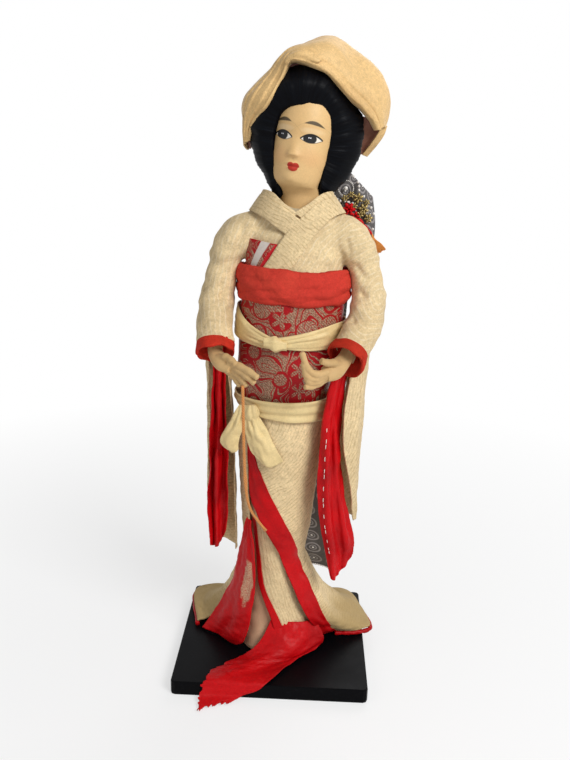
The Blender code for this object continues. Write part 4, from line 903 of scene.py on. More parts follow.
FINISH_MAKERS = {
    "cream": cream_crepe, "chest": chest_crepe, "underskirt": underskirt_crepe, "hood": hood_silk,
    "sash": sash_silk, "red": red_silk, "worn": worn_red_silk, "obiage": obiage_crepe,
    "blush": blush_silk, "russet": russet_silk, "padding": padding_cotton,
    "obi": obi_brocade, "pouch": pouch_brocade, "grey": ring_brocade, "lacquer": board_lacquer,
    "hair": hair_floss, "hand": hand_skin, "face": painted_face, "cord": cord_braid,
    "pearl": bead_pearl, "gilt": gilt_thread, "skirt": skirt_crepe, "mauve": mauve_silk,
    "thread": stitch_thread, "floss": orange_floss, "cuff": cuff_crepe,
}


# Stage

CAMERA_PLACE = (0.01747, -0.49380, 0.34512)
CAMERA_PITCH = 16.208
CAMERA_YAW = -1.637
CAMERA_ROLL = 1.602
FOCAL_PIXELS = 780
SENSOR_WIDTH = 36
PHOTO_HEIGHT = 760


def seen_directly(tree):
    """1 for what the camera, a reflection or a see-through path meets, 0 for light that falls."""
    path = add(tree, "ShaderNodeLightPath").outputs
    mirrored = larger(tree, path["Is Glossy Ray"], path["Is Transmission Ray"])
    return larger(tree, path["Is Camera Ray"], mirrored)


class DOLL_OT_stage(bpy.types.Operator):
    """Camera at the photograph's place, soft studio lamps, pale floor"""
    bl_idname = "doll.stage"
    bl_label = "Stage"

    def execute(self, context):
        yaw, pitch, roll = radians(CAMERA_YAW), radians(CAMERA_PITCH), radians(CAMERA_ROLL)
        ahead = Vector((sin(yaw) * cos(pitch), cos(yaw) * cos(pitch), -sin(pitch)))
        right = Vector((cos(yaw), -sin(yaw), 0))
        up = right.cross(ahead)
        across = right * cos(roll) + up * sin(roll)
        above = up * cos(roll) - right * sin(roll)
        lens = bpy.data.cameras.new("photo_camera")
        lens.sensor_fit = "AUTO"
        lens.sensor_width = SENSOR_WIDTH
        lens.lens = FOCAL_PIXELS / PHOTO_HEIGHT * SENSOR_WIDTH
        eye = bpy.data.objects.new("photo_camera", lens)
        turn = Matrix((across, above, -ahead)).transposed().to_4x4()
        eye.matrix_world = Matrix.Translation(CAMERA_PLACE) @ turn
        context.scene.collection.objects.link(eye)
        context.scene.camera = eye
        for name, place, aim, size, power in (
                ("key_lamp", (0.62, -0.70, 0.85), (0, 0, 0.24), 0.5, 10.5),
                ("fill_lamp", (-0.75, -0.65, 0.5), (0, 0, 0.2), 0.9, 1.2),
                ("rim_lamp", (0.3, 0.8, 0.8), (0, 0, 0.25), 0.6, 3)):
            lamp = bpy.data.lights.new(name, "AREA")
            lamp.size = size
            lamp.energy = power
            bulb = bpy.data.objects.new(name, lamp)
            bulb.location = place
            bulb.rotation_euler = (Vector(aim) - Vector(place)).to_track_quat("-Z", "Y").to_euler()
            context.scene.collection.objects.link(bulb)
        world = bpy.data.worlds.new("studio")
        context.scene.world = world
        world.use_nodes = True
        tree = world.node_tree
        back = tree.nodes["Background"]
        direct = seen_directly(tree)
        back.inputs[0].default_value = (1, 1, 1, 1)
        tree.links.new(remap(tree, direct, 0, 1, 0.31, 1), back.inputs[1])
        bpy.ops.mesh.primitive_circle_add(vertices=96, radius=3, fill_type="NGON")
        floor = context.active_object
        floor.name = "pale_floor"
        made = bpy.data.materials.new("pale_paper_floor")
        made.use_nodes = True
        tree = made.node_tree
        tree.nodes.remove(tree.nodes["Principled BSDF"])
        paper = add(tree, "ShaderNodeBsdfDiffuse", {0: (0.86, 0.86, 0.86, 1)}).outputs[0]
        white = add(tree, "ShaderNodeEmission", {0: (1, 1, 1, 1), 1: 1}).outputs[0]
        away = add(tree, "ShaderNodeNewGeometry").outputs["Position"]
        far = add(tree, "ShaderNodeVectorMath", {0: away}, operation="LENGTH").outputs[1]
        fade = times(tree, remap(tree, far, 0.12, 0.6, 0.6, 1), seen_directly(tree))
        top = add(tree, "ShaderNodeMixShader", {0: fade, 1: paper, 2: white}).outputs[0]
        tree.links.new(top, tree.nodes["Material Output"].inputs["Surface"])
        floor.data.materials.append(made)
        context.scene.view_settings.view_transform = "Standard"
        return {"FINISHED"}


# Cord

CORD_ROUTE = [(-21, -42.4, 199.4), (-20.8, -43, 196), (-20.6, -42.6, 188), (-20.4, -41, 176),
              (-20.2, -39.4, 164), (-19.8, -37.8, 150), (-19.2, -36, 136), (-18, -34.2, 122),
              (-15.4, -32.6, 112), (-11, -31.4, 104.5), (-5.6, -30.6, 97)]


class DOLL_OT_cord(bpy.types.Operator):
    """Flat orange cord that hangs from the right hand"""
    bl_idname = "doll.cord"
    bl_label = "Hand cord"

    def execute(self, context):
        route = resample(CORD_ROUTE, 36)
        wide = context.scene.doll_sizes.cord_width / MM / 2
        radii = []
        for i in range(36):
            knot = 0.55 * exp(-((i - 21.5) / 0.9) ** 2) + 0.3 * exp(-((i - 35) / 1) ** 2)
            radii.append((wide * (1.05 + knot), wide * (0.42 + knot)))
        rings = pipe_rings(route, radii, 12)
        made = closed_piece("orange_cord", rings, "cord", "hand_cord")
        return {"FINISHED"}


# Board and padding

class DOLL_OT_board(bpy.types.Operator):
    """Lacquer on the board and cotton on the hidden padding"""
    bl_idname = "doll.board"
    bl_label = "Board and padding"

    def execute(self, context):
        for name, kind in (("base_board", "lacquer"), ("body_core", "padding"), ("leg_left", "padding"),
                           ("leg_right", "padding"), ("arm_core_left", "padding"),
                           ("arm_core_right", "padding")):
            node = bpy.data.objects[name]
            for place in node.material_slots:
                place.material = finish(kind)
        return {"FINISHED"}


# Kimono: body and sleeves in one

RIGHT_ARM = [(-9, 2, 290.5), (-22, 2, 288.6), (-32.6, 1, 279.4), (-38, 0, 264.4),
             (-40.8, -2.5, 248), (-42, -9, 233.5), (-40.5, -19, 219)]
LEFT_ARM = [(25, 2, 291), (37, 2, 288), (46.8, 0.5, 278), (52, -1, 264),
            (55, -4.5, 248), (52, -13.5, 232), (43.5, -25, 219)]
SWELL = [0.88, 1.02, 1.02, 0.86, 0.96, 1, 1]
SLEEVE_WIDE = 11.4
SLEEVE_DEEP = 12.9
KIMONO_VOXEL = 1.15
HAND_VOXEL = 0.38


def arm_end(route):
    """Where an arm ends, and the way it points there."""
    end = Vector(route[-1])
    return end, (end - Vector(route[-2])).normalized()


def arm_frames(route, count):
    """The middle line of a sleeve and its radii."""
    fine = resample(route, count)
    radii = [(SLEEVE_WIDE * s.x, SLEEVE_DEEP * s.x) for s in resample([(s, 0, 0) for s in SWELL], count)]
    return fine, radii


def cut_plane(form, place, normal):
    """Cut a mesh at a plane and drop what lies beyond it."""
    whole = list(form.verts) + list(form.edges) + list(form.faces)
    bmesh.ops.bisect_plane(form, geom=whole, plane_co=place, plane_no=normal, clear_outer=True)


def near_fold(places, points, reach):
    """How near each vertex lies to a fold line through the points, from 0 to 1."""
    best = np.zeros(len(places))
    for a, b in zip(points, points[1:]):
        a, b = np.array(a, float), np.array(b, float)
        run = b - a
        share = np.clip(((places - a) @ run) / (run @ run), 0, 1)
        gap = np.linalg.norm(places - a - share[:, None] * run, axis=1)
        best = np.maximum(best, np.exp(-(gap / reach) ** 2))
    return best


class DOLL_OT_kimono(bpy.types.Operator):
    """Kimono body and both sleeves, joined at the shoulders and creased at the elbows"""
    bl_idname = "doll.kimono"
    bl_label = "Kimono"

    def execute(self, context):
        torso = [[body_point(BODY, 360 * i / 72, z, 1.5) for i in range(72)]
                 for z in np.linspace(176, 303.5, 60)]
        parts = [grid_object("kimono", grid_points(torso), ring=True, caps=True)]
        for route in (RIGHT_ARM, LEFT_ARM):
            fine, radii = arm_frames(route, 40)
            end = fine[-1] + (fine[-1] - fine[-2]) * 1.5
            rings = pipe_rings(fine + [end], radii + radii[-1:], 40)
            parts.append(grid_object("sleeve_part", grid_points(rings), ring=True, caps=True))
        made = fused("kimono_top", parts, KIMONO_VOXEL, 0.6, 9)
        form = bmesh.new()
        form.from_mesh(made.data)
        deck = context.scene.doll_sizes.deck
        cut_plane(form, (0, 0, 179 * MM + deck), (0, 0, -1))
        cut_plane(form, (0, 0, 301.6 * MM + deck), (0, 0, 1))
        for route in (RIGHT_ARM, LEFT_ARM):
            last, ahead = arm_end(route)
            place = last * MM + Vector((0, 0, deck))
            near = [f for f in form.faces if (f.calc_center_median() - place).length < 0.03]
            geom = list({v for f in near for v in f.verts}) + list({e for f in near for e in f.edges}) + near
            bmesh.ops.bisect_plane(form, geom=geom, plane_co=place, plane_no=ahead)
            beyond = [f for f in form.faces
                      if (f.calc_center_median() - place).length < 0.034
                      and (f.calc_center_median() - place).dot(ahead) > 1e-5]
            bmesh.ops.delete(form, geom=beyond, context="FACES")
        form.normal_update()
        form.to_mesh(made.data)
        form.free()
        self.crease(made)
        add_wall(made, 0.9, -1)
        made.data.shade_smooth()
        finish_piece(made, "chest", ["kimono_bodice", "sleeve_left", "sleeve_right"])
        return {"FINISHED"}

    def crease(self, made):
        """Elbow, armpit and shoulder creases, and a soft unevenness all over."""
        mesh = made.data
        count = len(mesh.vertices)
        places = np.empty(count * 3)
        normals = np.empty(count * 3)
        mesh.vertices.foreach_get("co", places)
        mesh.vertices.foreach_get("normal", normals)
        places, normals = places.reshape(-1, 3), normals.reshape(-1, 3)
        doll = (places - np.array([0, 0, bpy.context.scene.doll_sizes.deck])) / MM
        depth = 0.55 * rumple(doll[:, 0], doll[:, 2], 15, 2) + 0.4 * rumple(doll[:, 1], doll[:, 2], 10, 5)
        folds = [
            ([(-31, -14, 254), (-40, -14, 247), (-52, -6, 252)], 2, -1.7),
            ([(-30, -14, 248), (-38, -16, 240), (-50, -10, 243)], 2, 1.1),
            ([(-29, -12, 265), (-36, -13, 258), (-42, -12, 250)], 1.9, -1.5),
            ([(-34, -15, 236), (-40, -19, 231), (-49, -17, 233)], 1.8, -1),
            ([(-27, -12, 276), (-33, -12, 270), (-38, -11, 266)], 2.2, -1),
            ([(-24, -10, 292), (-27, -11, 280), (-27, -12, 268)], 1.6, -0.9),
            ([(46, -12, 268), (52, -13, 262), (61, -8, 262)], 2.2, -1.4),
            ([(44, -15, 256), (52, -15, 251), (64, -8, 250)], 2, -1.6),
            ([(43, -18, 250), (50, -19, 243), (62, -12, 241)], 2.2, 1.2),
            ([(42, -22, 240), (48, -24, 234), (58, -19, 234)], 1.9, -1.2),
            ([(39, -12, 285), (41, -13, 275), (41, -13, 262)], 1.8, -1.2),
            ([(36, -17, 268), (30, -20, 270), (20, -21, 267)], 2.4, -0.5),
        ]
        for line, reach, amount in folds:
            depth = depth + 1.35 * amount * near_fold(doll, line, reach)
        inside = np.clip((doll[:, 2] - 183) / 8, 0, 1)
        places = places + normals * (depth * inside)[:, None] * MM
        mesh.vertices.foreach_set("co", places.ravel())
        mesh.update()


class DOLL_OT_cuffs(bpy.types.Operator):
    """Red silk turned out at both sleeve ends, open inside"""
    bl_idname = "doll.cuffs"
    bl_label = "Cuffs"

    def execute(self, context):
        for side, route, droop in (("right", RIGHT_ARM, 1), ("left", LEFT_ARM, 3)):
            last, ahead = arm_end(route)
            stations = [(-0.8, 1, 0), (0.8, 1.03, 0.1), (3.4, 1.035, 0.4), (5.4, 1.02, 0.9), (5.9, 0.99, 1),
                        (5.3, 0.95, 0.8), (2, 0.9, 0.3), (-3, 0.75, 0), (-9, 0.42, 0)]
            fine = resample(stations, 46)
            rings = []
            for station in fine:
                centre = last + ahead * station.x
                ring = pipe_rings([centre - ahead, centre, centre + ahead],
                                  [(SLEEVE_WIDE * station.y, SLEEVE_DEEP * station.y)] * 3, 64)[1]
                rings.append([p + Vector((0, 0, -1)) * droop * station.z
                              * max(0, (last.z - p.z) / 9) ** 1.5 for p in ring])
            wavy = lambda u, v, p: np.clip(v / 3, 0, 1) * (0.3 * np.sin(u / 2.7) + 0.55 * rumple(u, v, 10))
            cloth("red_cuff_" + side, rings, "cuff", ["cuff_" + side], "folded", ring=True,
                  relief=wavy)
        return {"FINISHED"}


# Collars and case

def collar_rows(route, width, out, lap, count=150, strips=15):
    """Strips of a neck band along (angle, height) places, lapping outwards near its end."""
    middle = resample([(angle, z, 0) for angle, z in route], count)
    rows = [[] for _ in range(strips)]
    for i, place in enumerate(middle):
        ahead = middle[min(i + 1, count - 1)] - middle[max(i - 1, 0)]
        arc = ahead.x * pi / 180 * 20
        length = sqrt(arc * arc + ahead.y * ahead.y)
        stand = out + lap * max(0, 1 - abs(i / (count - 1) - 0.84) / 0.16)
        for k in range(strips):
            share = k / (strips - 1) - 0.5
            angle = place.x + width * share * ahead.y / length / 20 * 180 / pi
            z = place.y - width * share * arc / length
            crown = 0.35 * (1 - (2 * share) ** 2)
            rows[k].append(body_point(COLLAR, angle, z, stand + crown))
    return rows


class DOLL_OT_collars(bpy.types.Operator):
    """Under collar and outer collar, lapped left over right"""
    bl_idname = "doll.collars"
    bl_label = "Collars"

    def execute(self, context):
        under = [(-95, 298), (-112, 303), (-138, 309), (-175, 309.5), (-225, 306),
                 (-270, 304), (-315, 306), (-365, 309.5), (-402, 309), (-430, 303),
                 (-446, 298.5)]
        cloth("under_collar_band", collar_rows(under, 7, 2.6, 0), "cream", ["under_collar"],
              "folded", thick=0.9)
        over = [(-79, 288), (-98, 294.5), (-124, 302), (-165, 305.5), (-215, 303.5),
                (-270, 301), (-325, 303.5), (-373, 305.5), (-408, 303.5), (-428, 298),
                (-442, 290), (-453, 281), (-464, 271.5), (-475, 264), (-482, 259.5)]
        cloth("outer_collar_band", collar_rows(over, 9.8, 3.3, 0.9), "cream", ["outer_collar"],
              "folded", thick=0.9)
        return {"FINISHED"}


class DOLL_OT_pouch(bpy.types.Operator):
    """Flat brocade case tucked in at the right breast"""
    bl_idname = "doll.pouch"
    bl_label = "Brocade case"

    def execute(self, context):
        rows = []
        for j in range(24):
            down = j / 23
            row = []
            for k in range(30):
                share = k / 29
                top = -21.5 + 22.7 * share
                bottom = -22.8 + 14.3 * share
                z = 264.5 + (20 - 3.2 * share) * down
                row.append(body_front(bottom + (top - bottom) * down, z, 2.6))
            rows.append(row)
        cloth("brocade_case", rows, "pouch", ["pouch"], "folded", thick=1.4)
        return {"FINISHED"}


# Belts

def belt_rows(low, high, out, count=160, levels=40):
    """Rows round the body from low(angle) to high(angle), standing off by out(angle, share)."""
    rows = []
    for j in range(levels):
        share = j / (levels - 1)
        row = []
        for i in range(count):
            angle = 360 * i / count
            z = low(angle) + (high(angle) - low(angle)) * share
            row.append(body_point(BODY, angle, z, out(angle, share)))
        rows.append(row)
    return rows


class DOLL_OT_obi(bpy.types.Operator):
    """Wide brocade obi"""
    bl_idname = "doll.obi"
    bl_label = "Obi"

    def execute(self, context):
        rows = belt_rows(lambda a: 182, lambda a: 247.5, lambda a, s: OBI_OUT, levels=60)
        soft = lambda u, v, p: 0.5 * rumple(u, v * 1.6, 26, 1) + 0.25 * np.sin(v / 3.2 + 0.6 * np.sin(u / 14))
        cloth("brocade_obi", rows, "obi", ["obi"], "stretched", thick=2, ring=True,
              relief=soft, rests=["body_core"])
        return {"FINISHED"}


class DOLL_OT_obiage(bpy.types.Operator):
    """Crushed crepe band over the top edge of the obi"""
    bl_idname = "doll.obiage"
    bl_label = "Obiage"

    def execute(self, context):
        def stand(angle, share):
            return OBI_OUT + 1.2 + 3.2 * sqrt(max(0, 1 - (2 * share - 1) ** 2))
        rows = belt_rows(lambda a: 246 + 0.8 * sin(radians(a * 2)), lambda a: 266.8 - 1.2 * cos(radians(a)),
                         stand, levels=44)
        folds = lambda u, v, p: (0.75 * rumple(u * 0.3, v, 8, 3) + 0.45 * rumple(u, v * 2.2, 16, 6)
                                 + 0.22 * rumple(u, v, 4, 8))
        cloth("crushed_obiage", rows, "obiage", ["obiage"], "gathered", thick=1.2, ring=True,
              relief=folds, rests=["obi"])
        return {"FINISHED"}


class DOLL_OT_obijime(bpy.types.Operator):
    """Flat silk tie drawn into a knot at the front"""
    bl_idname = "doll.obijime"
    bl_label = "Obijime"

    def execute(self, context):
        knot_at = 254

        def half(angle):
            gap = (angle - knot_at + 180) % 360 - 180
            wide = 6.2 if gap < 0 else 4.7
            return 2.9 + wide * min(abs(gap) / 62, 1) ** 0.9

        def middle(angle):
            gap = (angle - knot_at + 180) % 360 - 180
            rise = 11 if gap < 0 else 4.4
            return 222.2 + rise * min(abs(gap) / 72, 1) ** 1.1
        rows = belt_rows(lambda a: middle(a) - half(a), lambda a: middle(a) + half(a),
                         lambda a, s: BAND_OUT + 0.9 * sqrt(max(0, 1 - (2 * s - 1) ** 2)), levels=26)
        pleats = lambda u, v, p: 0.4 * rumple(u * 0.12, v, 4.2, 2) + 0.25 * rumple(u * 0.5, v * 2, 14, 5)
        cloth("obijime_tie", rows, "sash", ["obijime_band"], "stretched", thick=0.9, ring=True,
              relief=pleats, rests=["obi"])
        face = body_front(-2.5, 222.5, BAND_OUT + 2)
        centre = face + Vector((0, -1.2, 0))
        rings = []
        for j in range(26):
            share = j / 25
            x = -7.2 + 14.4 * share
            swell = 0.62 + 0.5 * exp(-((share - 0.5) / 0.22) ** 2)
            ring = []
            for i in range(36):
                t = 2 * pi * i / 36
                crumple = 1 + 0.10 * sin(5 * t + 3 * share) + 0.06 * sin(9 * t + 7 * share)
                ring.append(centre + Vector((x, 2.6 * swell * crumple * cos(t) + 0.012 * x * x,
                                             4.3 * swell * crumple * sin(t) - 0.16 * x)))
            rings.append(ring)
        padded_piece("obijime_soft_knot", rings, "sash", "obijime_knot")
        return {"FINISHED"}


class DOLL_OT_sash(bpy.types.Operator):
    """Slanting waist sash with its knot, leaf and loop"""
    bl_idname = "doll.sash"
    bl_label = "Waist sash"

    def execute(self, context):
        def width(angle):
            return 12 * (0.68 + 0.32 * cos(radians(angle + 20)))
        rows = belt_rows(lambda a: 181.6 - width(a), lambda a: 184.6,
                         lambda a, s: SASH_OUT + 0.6 * sqrt(max(0, 1 - (2 * s - 1) ** 2)), levels=30)
        folds = lambda u, v, p: 0.4 * np.sin(v * 1.25 + 0.8 * np.sin(u / 17)) + 0.25 * rumple(u, v * 2, 18, 4)
        cloth("waist_sash_band", rows, "sash", ["waist_sash"], "gathered", thick=1, ring=True,
              relief=folds, rests=["outer_skirt"])
        at = body_front(-16, 177, 8.9)
        knot = at + Vector((-0.5, -3.6, 0))
        rings = []
        for j in range(24):
            share = j / 23
            z = -5.2 + 10.4 * share
            swell = 0.45 + 0.62 * sin(pi * min(max(share, 0.02), 0.98)) ** 0.7
            ring = []
            for i in range(36):
                t = 2 * pi * i / 36
                crumple = 1 + 0.12 * sin(6 * t + 2 * share) + 0.06 * sin(11 * t + 5 * share)
                wide = swell * crumple
                ring.append(knot + Vector((4.3 * wide * cos(t), 2.9 * wide * sin(t), z)))
            rings.append(ring)
        padded_piece("sash_soft_knot", rings, "sash", "sash_knot")
        y = knot.y
        leaf = [[(-20.5, y + 0.5, 178), (-17.5, y - 0.6, 178), (-14.5, y + 0.5, 178)],
                [(-21, y + 1.5, 168), (-15, y - 1.6, 168), (-8.5, y + 1.5, 169)],
                [(-18.8, y + 1.5, 156), (-10, y - 1.6, 154), (-1.5, y + 1, 155)],
                [(-15.7, y + 1.5, 149), (-5.5, y - 0.8, 140.5), (4.5, y + 1, 144)]]
        soft = lambda u, v, p: (0.6 * rumple(u, v * 0.2, 3.6, 3) * np.clip(1.2 - v / 40, 0.3, 1)
                                + 0.3 * rumple(u, v, 9))
        cloth("sash_leaf", surface(leaf, 36, 60), "sash", ["sash_end_left"], "hung", thick=0.7,
              relief=soft)
        loop = [[(-24.5, y + 2, 181.5), (-22.5, y + 1.2, 181.5), (-20, y + 2, 181)],
                [(-29.5, y + 2.8, 171), (-26, y + 0.6, 170), (-22, y + 2.4, 168)],
                [(-36.5, y + 2.5, 157), (-31, y - 0.4, 156), (-24.5, y + 2.5, 157)],
                [(-31.5, y + 2.5, 150.5), (-28, y + 1, 149), (-25, y + 2.5, 151)]]
        cloth("sash_loop", surface(loop, 36, 50), "sash", ["sash_end_right"], "hung", thick=0.9,
              relief=soft)
        return {"FINISHED"}


# Skirts

OVERLAP_EDGE = [(177.7, -131), (149, -127), (137, -119), (116, -97.5), (96, -74),
                (74, -44), (66, -36)]
BORDER_EDGE = [(177.7, -137), (149, -136), (137, -134.6), (116, -133), (96, -112),
               (74, -80), (66, -72)]
UNDER_EDGE = [(177.7, -128), (96, -128), (80, -122), (50, -110), (28, -86), (17, -78)]
HEM = [(44.5, 0), (60, 2), (71, 9.5), (64, 34), (53, 56), (24, 56), (-12, 56),
       (-40, 56), (-63, 46), (-56, 4)]
LOW = [(41, -7, 12), (52, -3, 11), (60, 8, 11), (57, 24, 11), (46, 40, 11),
       (20, 42, 11), (-10, 42, 11), (-40, 40, 10), (-51, 24, 10), (-47, 5, 10)]
MIDDLE = [(33, -15, 29), (37.5, -9, 28), (39.5, 4, 28), (37.5, 17, 29), (30, 27, 31),
          (14, 32, 32), (-8, 32, 32), (-26, 27, 31), (-35, 17, 30), (-35, 6, 29)]


class DOLL_OT_outer_skirt(bpy.types.Operator):
    """Outer skirt: wrapped over the legs and spread over the deck"""
    bl_idname = "doll.outer_skirt"
    bl_label = "Outer skirt"

    def execute(self, context):
        count = 150
        upper = []
        for z in np.linspace(66, SKIRT_TOP, 70):
            start = along(OVERLAP_EDGE, z)
            end = 222 - 20 * max(0, (96 - z) / 30)
            upper.append([body_point(LOW_BODY, start + (end - start) * i / (count - 1), z, OUTER_OUT)
                          for i in range(count)])
        knee = [tuple(p) for p in resample(upper[0], 10)]
        hem = [(x, y, 4.4) for x, y in HEM]
        lower = surface([hem, LOW, MIDDLE, knee], count, 56)[:-1]
        rows = lower + upper

        def drape(u, v, p):
            spread = np.clip((75 - v) / 60, 0, 1)
            swags = 1.3 * spread * np.sin(u / 6.2 + 0.5 * np.sin(v / 13)) * np.clip(v / 12, 0.25, 1)
            return swags + 0.5 * rumple(u, v, 24, 3) * np.clip(spread + 0.35, 0, 1) + 0.2 * rumple(u, v, 8, 7)
        cloth("outer_skirt_crepe", rows, "skirt", ["outer_skirt"], "draped", thick=1, relief=drape,
              rests=["base_board"])
        return {"FINISHED"}


class DOLL_OT_hem(bpy.types.Operator):
    """Padded red roll that edges the spread skirt"""
    bl_idname = "doll.hem"
    bl_label = "Hem roll"

    def execute(self, context):
        route = [Vector((x, y, 1.9)) for x, y in HEM]
        fine = resample(route, 220)
        radii = [(1.6 + 0.22 * sin(i * 0.55) + 0.12 * sin(i * 1.3), 1.5 + 0.15 * sin(i * 0.7))
                 for i in range(220)]
        padded_piece("red_hem_roll", pipe_rings(fine, radii, 14), "red", "hem_roll")
        return {"FINISHED"}


class DOLL_OT_border(bpy.types.Operator):
    """Red facing turned out along the overlap"""
    bl_idname = "doll.border"
    bl_label = "Front border"

    def execute(self, context):
        across = 24
        upper = []
        for z in np.linspace(66, SKIRT_TOP, 90):
            end = along(OVERLAP_EDGE, z) + 0.8
            start = along(BORDER_EDGE, z)
            upper.append([body_point(LOW_BODY, start + (end - start) * i / (across - 1), z,
                                     OUTER_OUT + 0.9 - 0.5 * i / (across - 1)) for i in range(across)])
        edge = [(HEM[0][0], HEM[0][1], 4.4), LOW[0], MIDDLE[0]]
        outer = [(p[0] + 1, p[1] - 0.8, p[2] + 0.3) for p in edge]
        inner = [(edge[0][0] - 8.5, edge[0][1] - 6.5, 5), (edge[1][0] - 9, edge[1][1] - 6, 13),
                 (edge[2][0] - 11, edge[2][1] - 5.5, 30.5)]
        first = [tuple(p) for p in resample([tuple(q) for q in upper[0]], 2)]
        lower = surface([[b, a] for a, b in zip(outer, inner)] + [first], across, 50)[:-1]
        soft = lambda u, v, p: 0.35 * rumple(u, v * 0.5, 7, 4) + 0.25 * rumple(u, v, 15, 2)
        cloth("red_front_border", lower + upper, "red", ["front_border"], "folded", thick=0.9,
              relief=soft)
        return {"FINISHED"}


class DOLL_OT_underskirt(bpy.types.Operator):
    """Underskirt with its red edge, and the inner skirt"""
    bl_idname = "doll.underskirt"
    bl_label = "Underskirt"

    def execute(self, context):
        rows = []
        for z in np.linspace(17.5, 175, 90):
            start = along(UNDER_EDGE, z)
            rows.append([body_point(UNDER_PROFILE, start + (212 - start) * i / 119, z, UNDER_OUT)
                         for i in range(120)])
        ribs = lambda u, v, p: 0.22 * np.sin(u * 2 + 0.4 * np.sin(v / 7)) + 0.4 * rumple(u, v, 18, 2)
        cloth("ribbed_underskirt", rows, "underskirt", ["underskirt"], "draped", thick=0.8,
              relief=ribs)
        rows = []
        for z in np.linspace(18, 99, 70):
            end = along(UNDER_EDGE, z) + 0.5
            width = 7 + (96 - z) * 0.07
            rows.append([body_point(UNDER_PROFILE, end - width + width * i / 9, z, UNDER_OUT + 0.35)
                         for i in range(10)])
        cloth("underskirt_red_edge", rows, "red", ["underskirt_border"], "folded", thick=0.9)
        rows = [[body_point(LOW_BODY, 360 * i / 120, z, 0.9 + 1.2 * max(0, (24 - z) / 24))
                 for i in range(120)] for z in np.linspace(0.6, 174, 80)]
        gather = lambda u, v, p: (np.clip((60 - v) / 60, 0, 1)
                                  * (0.7 * np.sin(u / 2.6) + 0.6 * rumple(u, v, 14)))
        cloth("blush_inner_skirt", rows, "blush", ["inner_skirt"], "draped", thick=0.7, ring=True,
              relief=gather, rests=["base_board"])
        return {"FINISHED"}


class DOLL_OT_lining_panel(bpy.types.Operator):
    """Right front panel folded back, worn red lining out"""
    bl_idname = "doll.lining_panel"
    bl_label = "Folded panel"

    def execute(self, context):
        rows = [[(-52, 0.5, 1.4), (-42, -5.5, 1.4), (-34, -12, 1.4), (-25.5, -19, 1.4)],
                [(-44.5, 0.5, 14), (-36.5, -9, 13), (-29, -18, 12), (-20, -27, 10)],
                [(-36, -1, 30), (-30, -12.5, 29), (-23.5, -21.5, 29), (-15, -28, 29)],
                [(-28, -4, 52), (-24, -13.5, 52), (-18.8, -20.5, 52), (-12.5, -24.6, 52)],
                [(-23.5, -9.5, 76), (-20.5, -14.5, 76), (-17.5, -18.8, 76), (-13.5, -22.2, 76)],
                [(-19.5, -16.5, 99), (-18.4, -18.3, 99), (-17.4, -19.6, 99), (-16, -20.6, 99)]]
        soft = lambda u, v, p: 0.7 * rumple(u * 1.3, v * 0.5, 13, 3) + 0.2 * rumple(u, v, 6, 5)
        cloth("folded_lining_panel", surface(rows, 50, 90), "worn", ["lining_panel"], "folded",
              thick=0.8, relief=soft, rests=["base_board"])
        return {"FINISHED"}


class DOLL_OT_train(bpy.types.Operator):
    """Long red train over the deck and down the board's front edge"""
    bl_idname = "doll.train"
    bl_label = "Red train"

    def execute(self, context):
        edge, drop, flat = -60, -10, 1.1
        rows = [[(-1, -22, 25), (11, -22, 24), (21, -19.5, 23), (30, -14.5, 22)],
                [(-9, -28, 10), (7, -31, 11), (22, -26.5, 8), (36, -16, 9)],
                [(-20.5, -30, flat), (-4, -36, flat + 3.5), (14, -32, flat), (33, -18, flat + 2)],
                [(-31, -40, flat), (-16, -42, flat + 3), (0, -40, flat), (19, -32, flat + 2)],
                [(-39, -49, flat), (-25, -50, flat + 2.2), (-9, -49, flat), (8.5, -45, flat + 1.5)],
                [(-42.5, edge + 1.5, flat + 0.3), (-29, edge + 1, flat + 1),
                 (-14, edge + 1, flat + 0.3), (-1, edge + 1.5, flat + 0.5)],
                [(-44, edge - 1.6, -2.5), (-32, edge - 1.6, -2.5), (-19, edge - 1.6, -2.3),
                 (-7, edge - 1.6, -2.3)],
                [(-44.8, edge - 6, drop + 3), (-35.5, edge - 4.2, drop + 3.5),
                 (-25.5, edge - 3.2, drop + 3.6), (-16, edge - 2.4, drop + 4.2)],
                [(-45.5, edge - 16, drop + 1.5), (-38.5, edge - 11.5, drop + 1.6),
                 (-31, edge - 8.5, drop + 1.6), (-23.5, edge - 6.5, drop + 1.8)]]
        fine = surface(rows, 80, 150)
        for j, row in enumerate(fine):
            ragged = (0.8 * sin(j * 0.23 + 0.8 * sin(j * 0.11)) + 0.5 * sin(j * 0.57 + 1.3 * sin(j * 0.19))
                      + 0.3 * sin(j * 1.9 + 2 * sin(j * 0.43)))
            for i in range(10):
                row[i].x += ragged * (1 - i / 10) * min(1, j / 50)
        for j in range(8):
            for i, p in enumerate(fine[-1 - j]):
                p.y += (1.2 * sin(i * 0.42 + 1.1 * sin(i * 0.21)) + 0.5 * sin(i * 1.3 + 1.7 * sin(i * 0.37))
                        ) * (1 - j / 8)

        def pull(u, v, p):
            lie = np.clip(p[..., 2] / 3, 0.15, 1)
            return lie * (0.55 * np.sin(u / 5.5 + 1.1 * np.sin(v / 14)) + 0.4 * rumple(u, v, 12, 2)
                          + 0.12 * rumple(u, v, 4, 5))
        cloth("red_train_silk", fine, "red", ["red_train"], "laid", thick=0.7, relief=pull,
              rests=["base_board"])
        return {"FINISHED"}


# Hanging sleeve bags

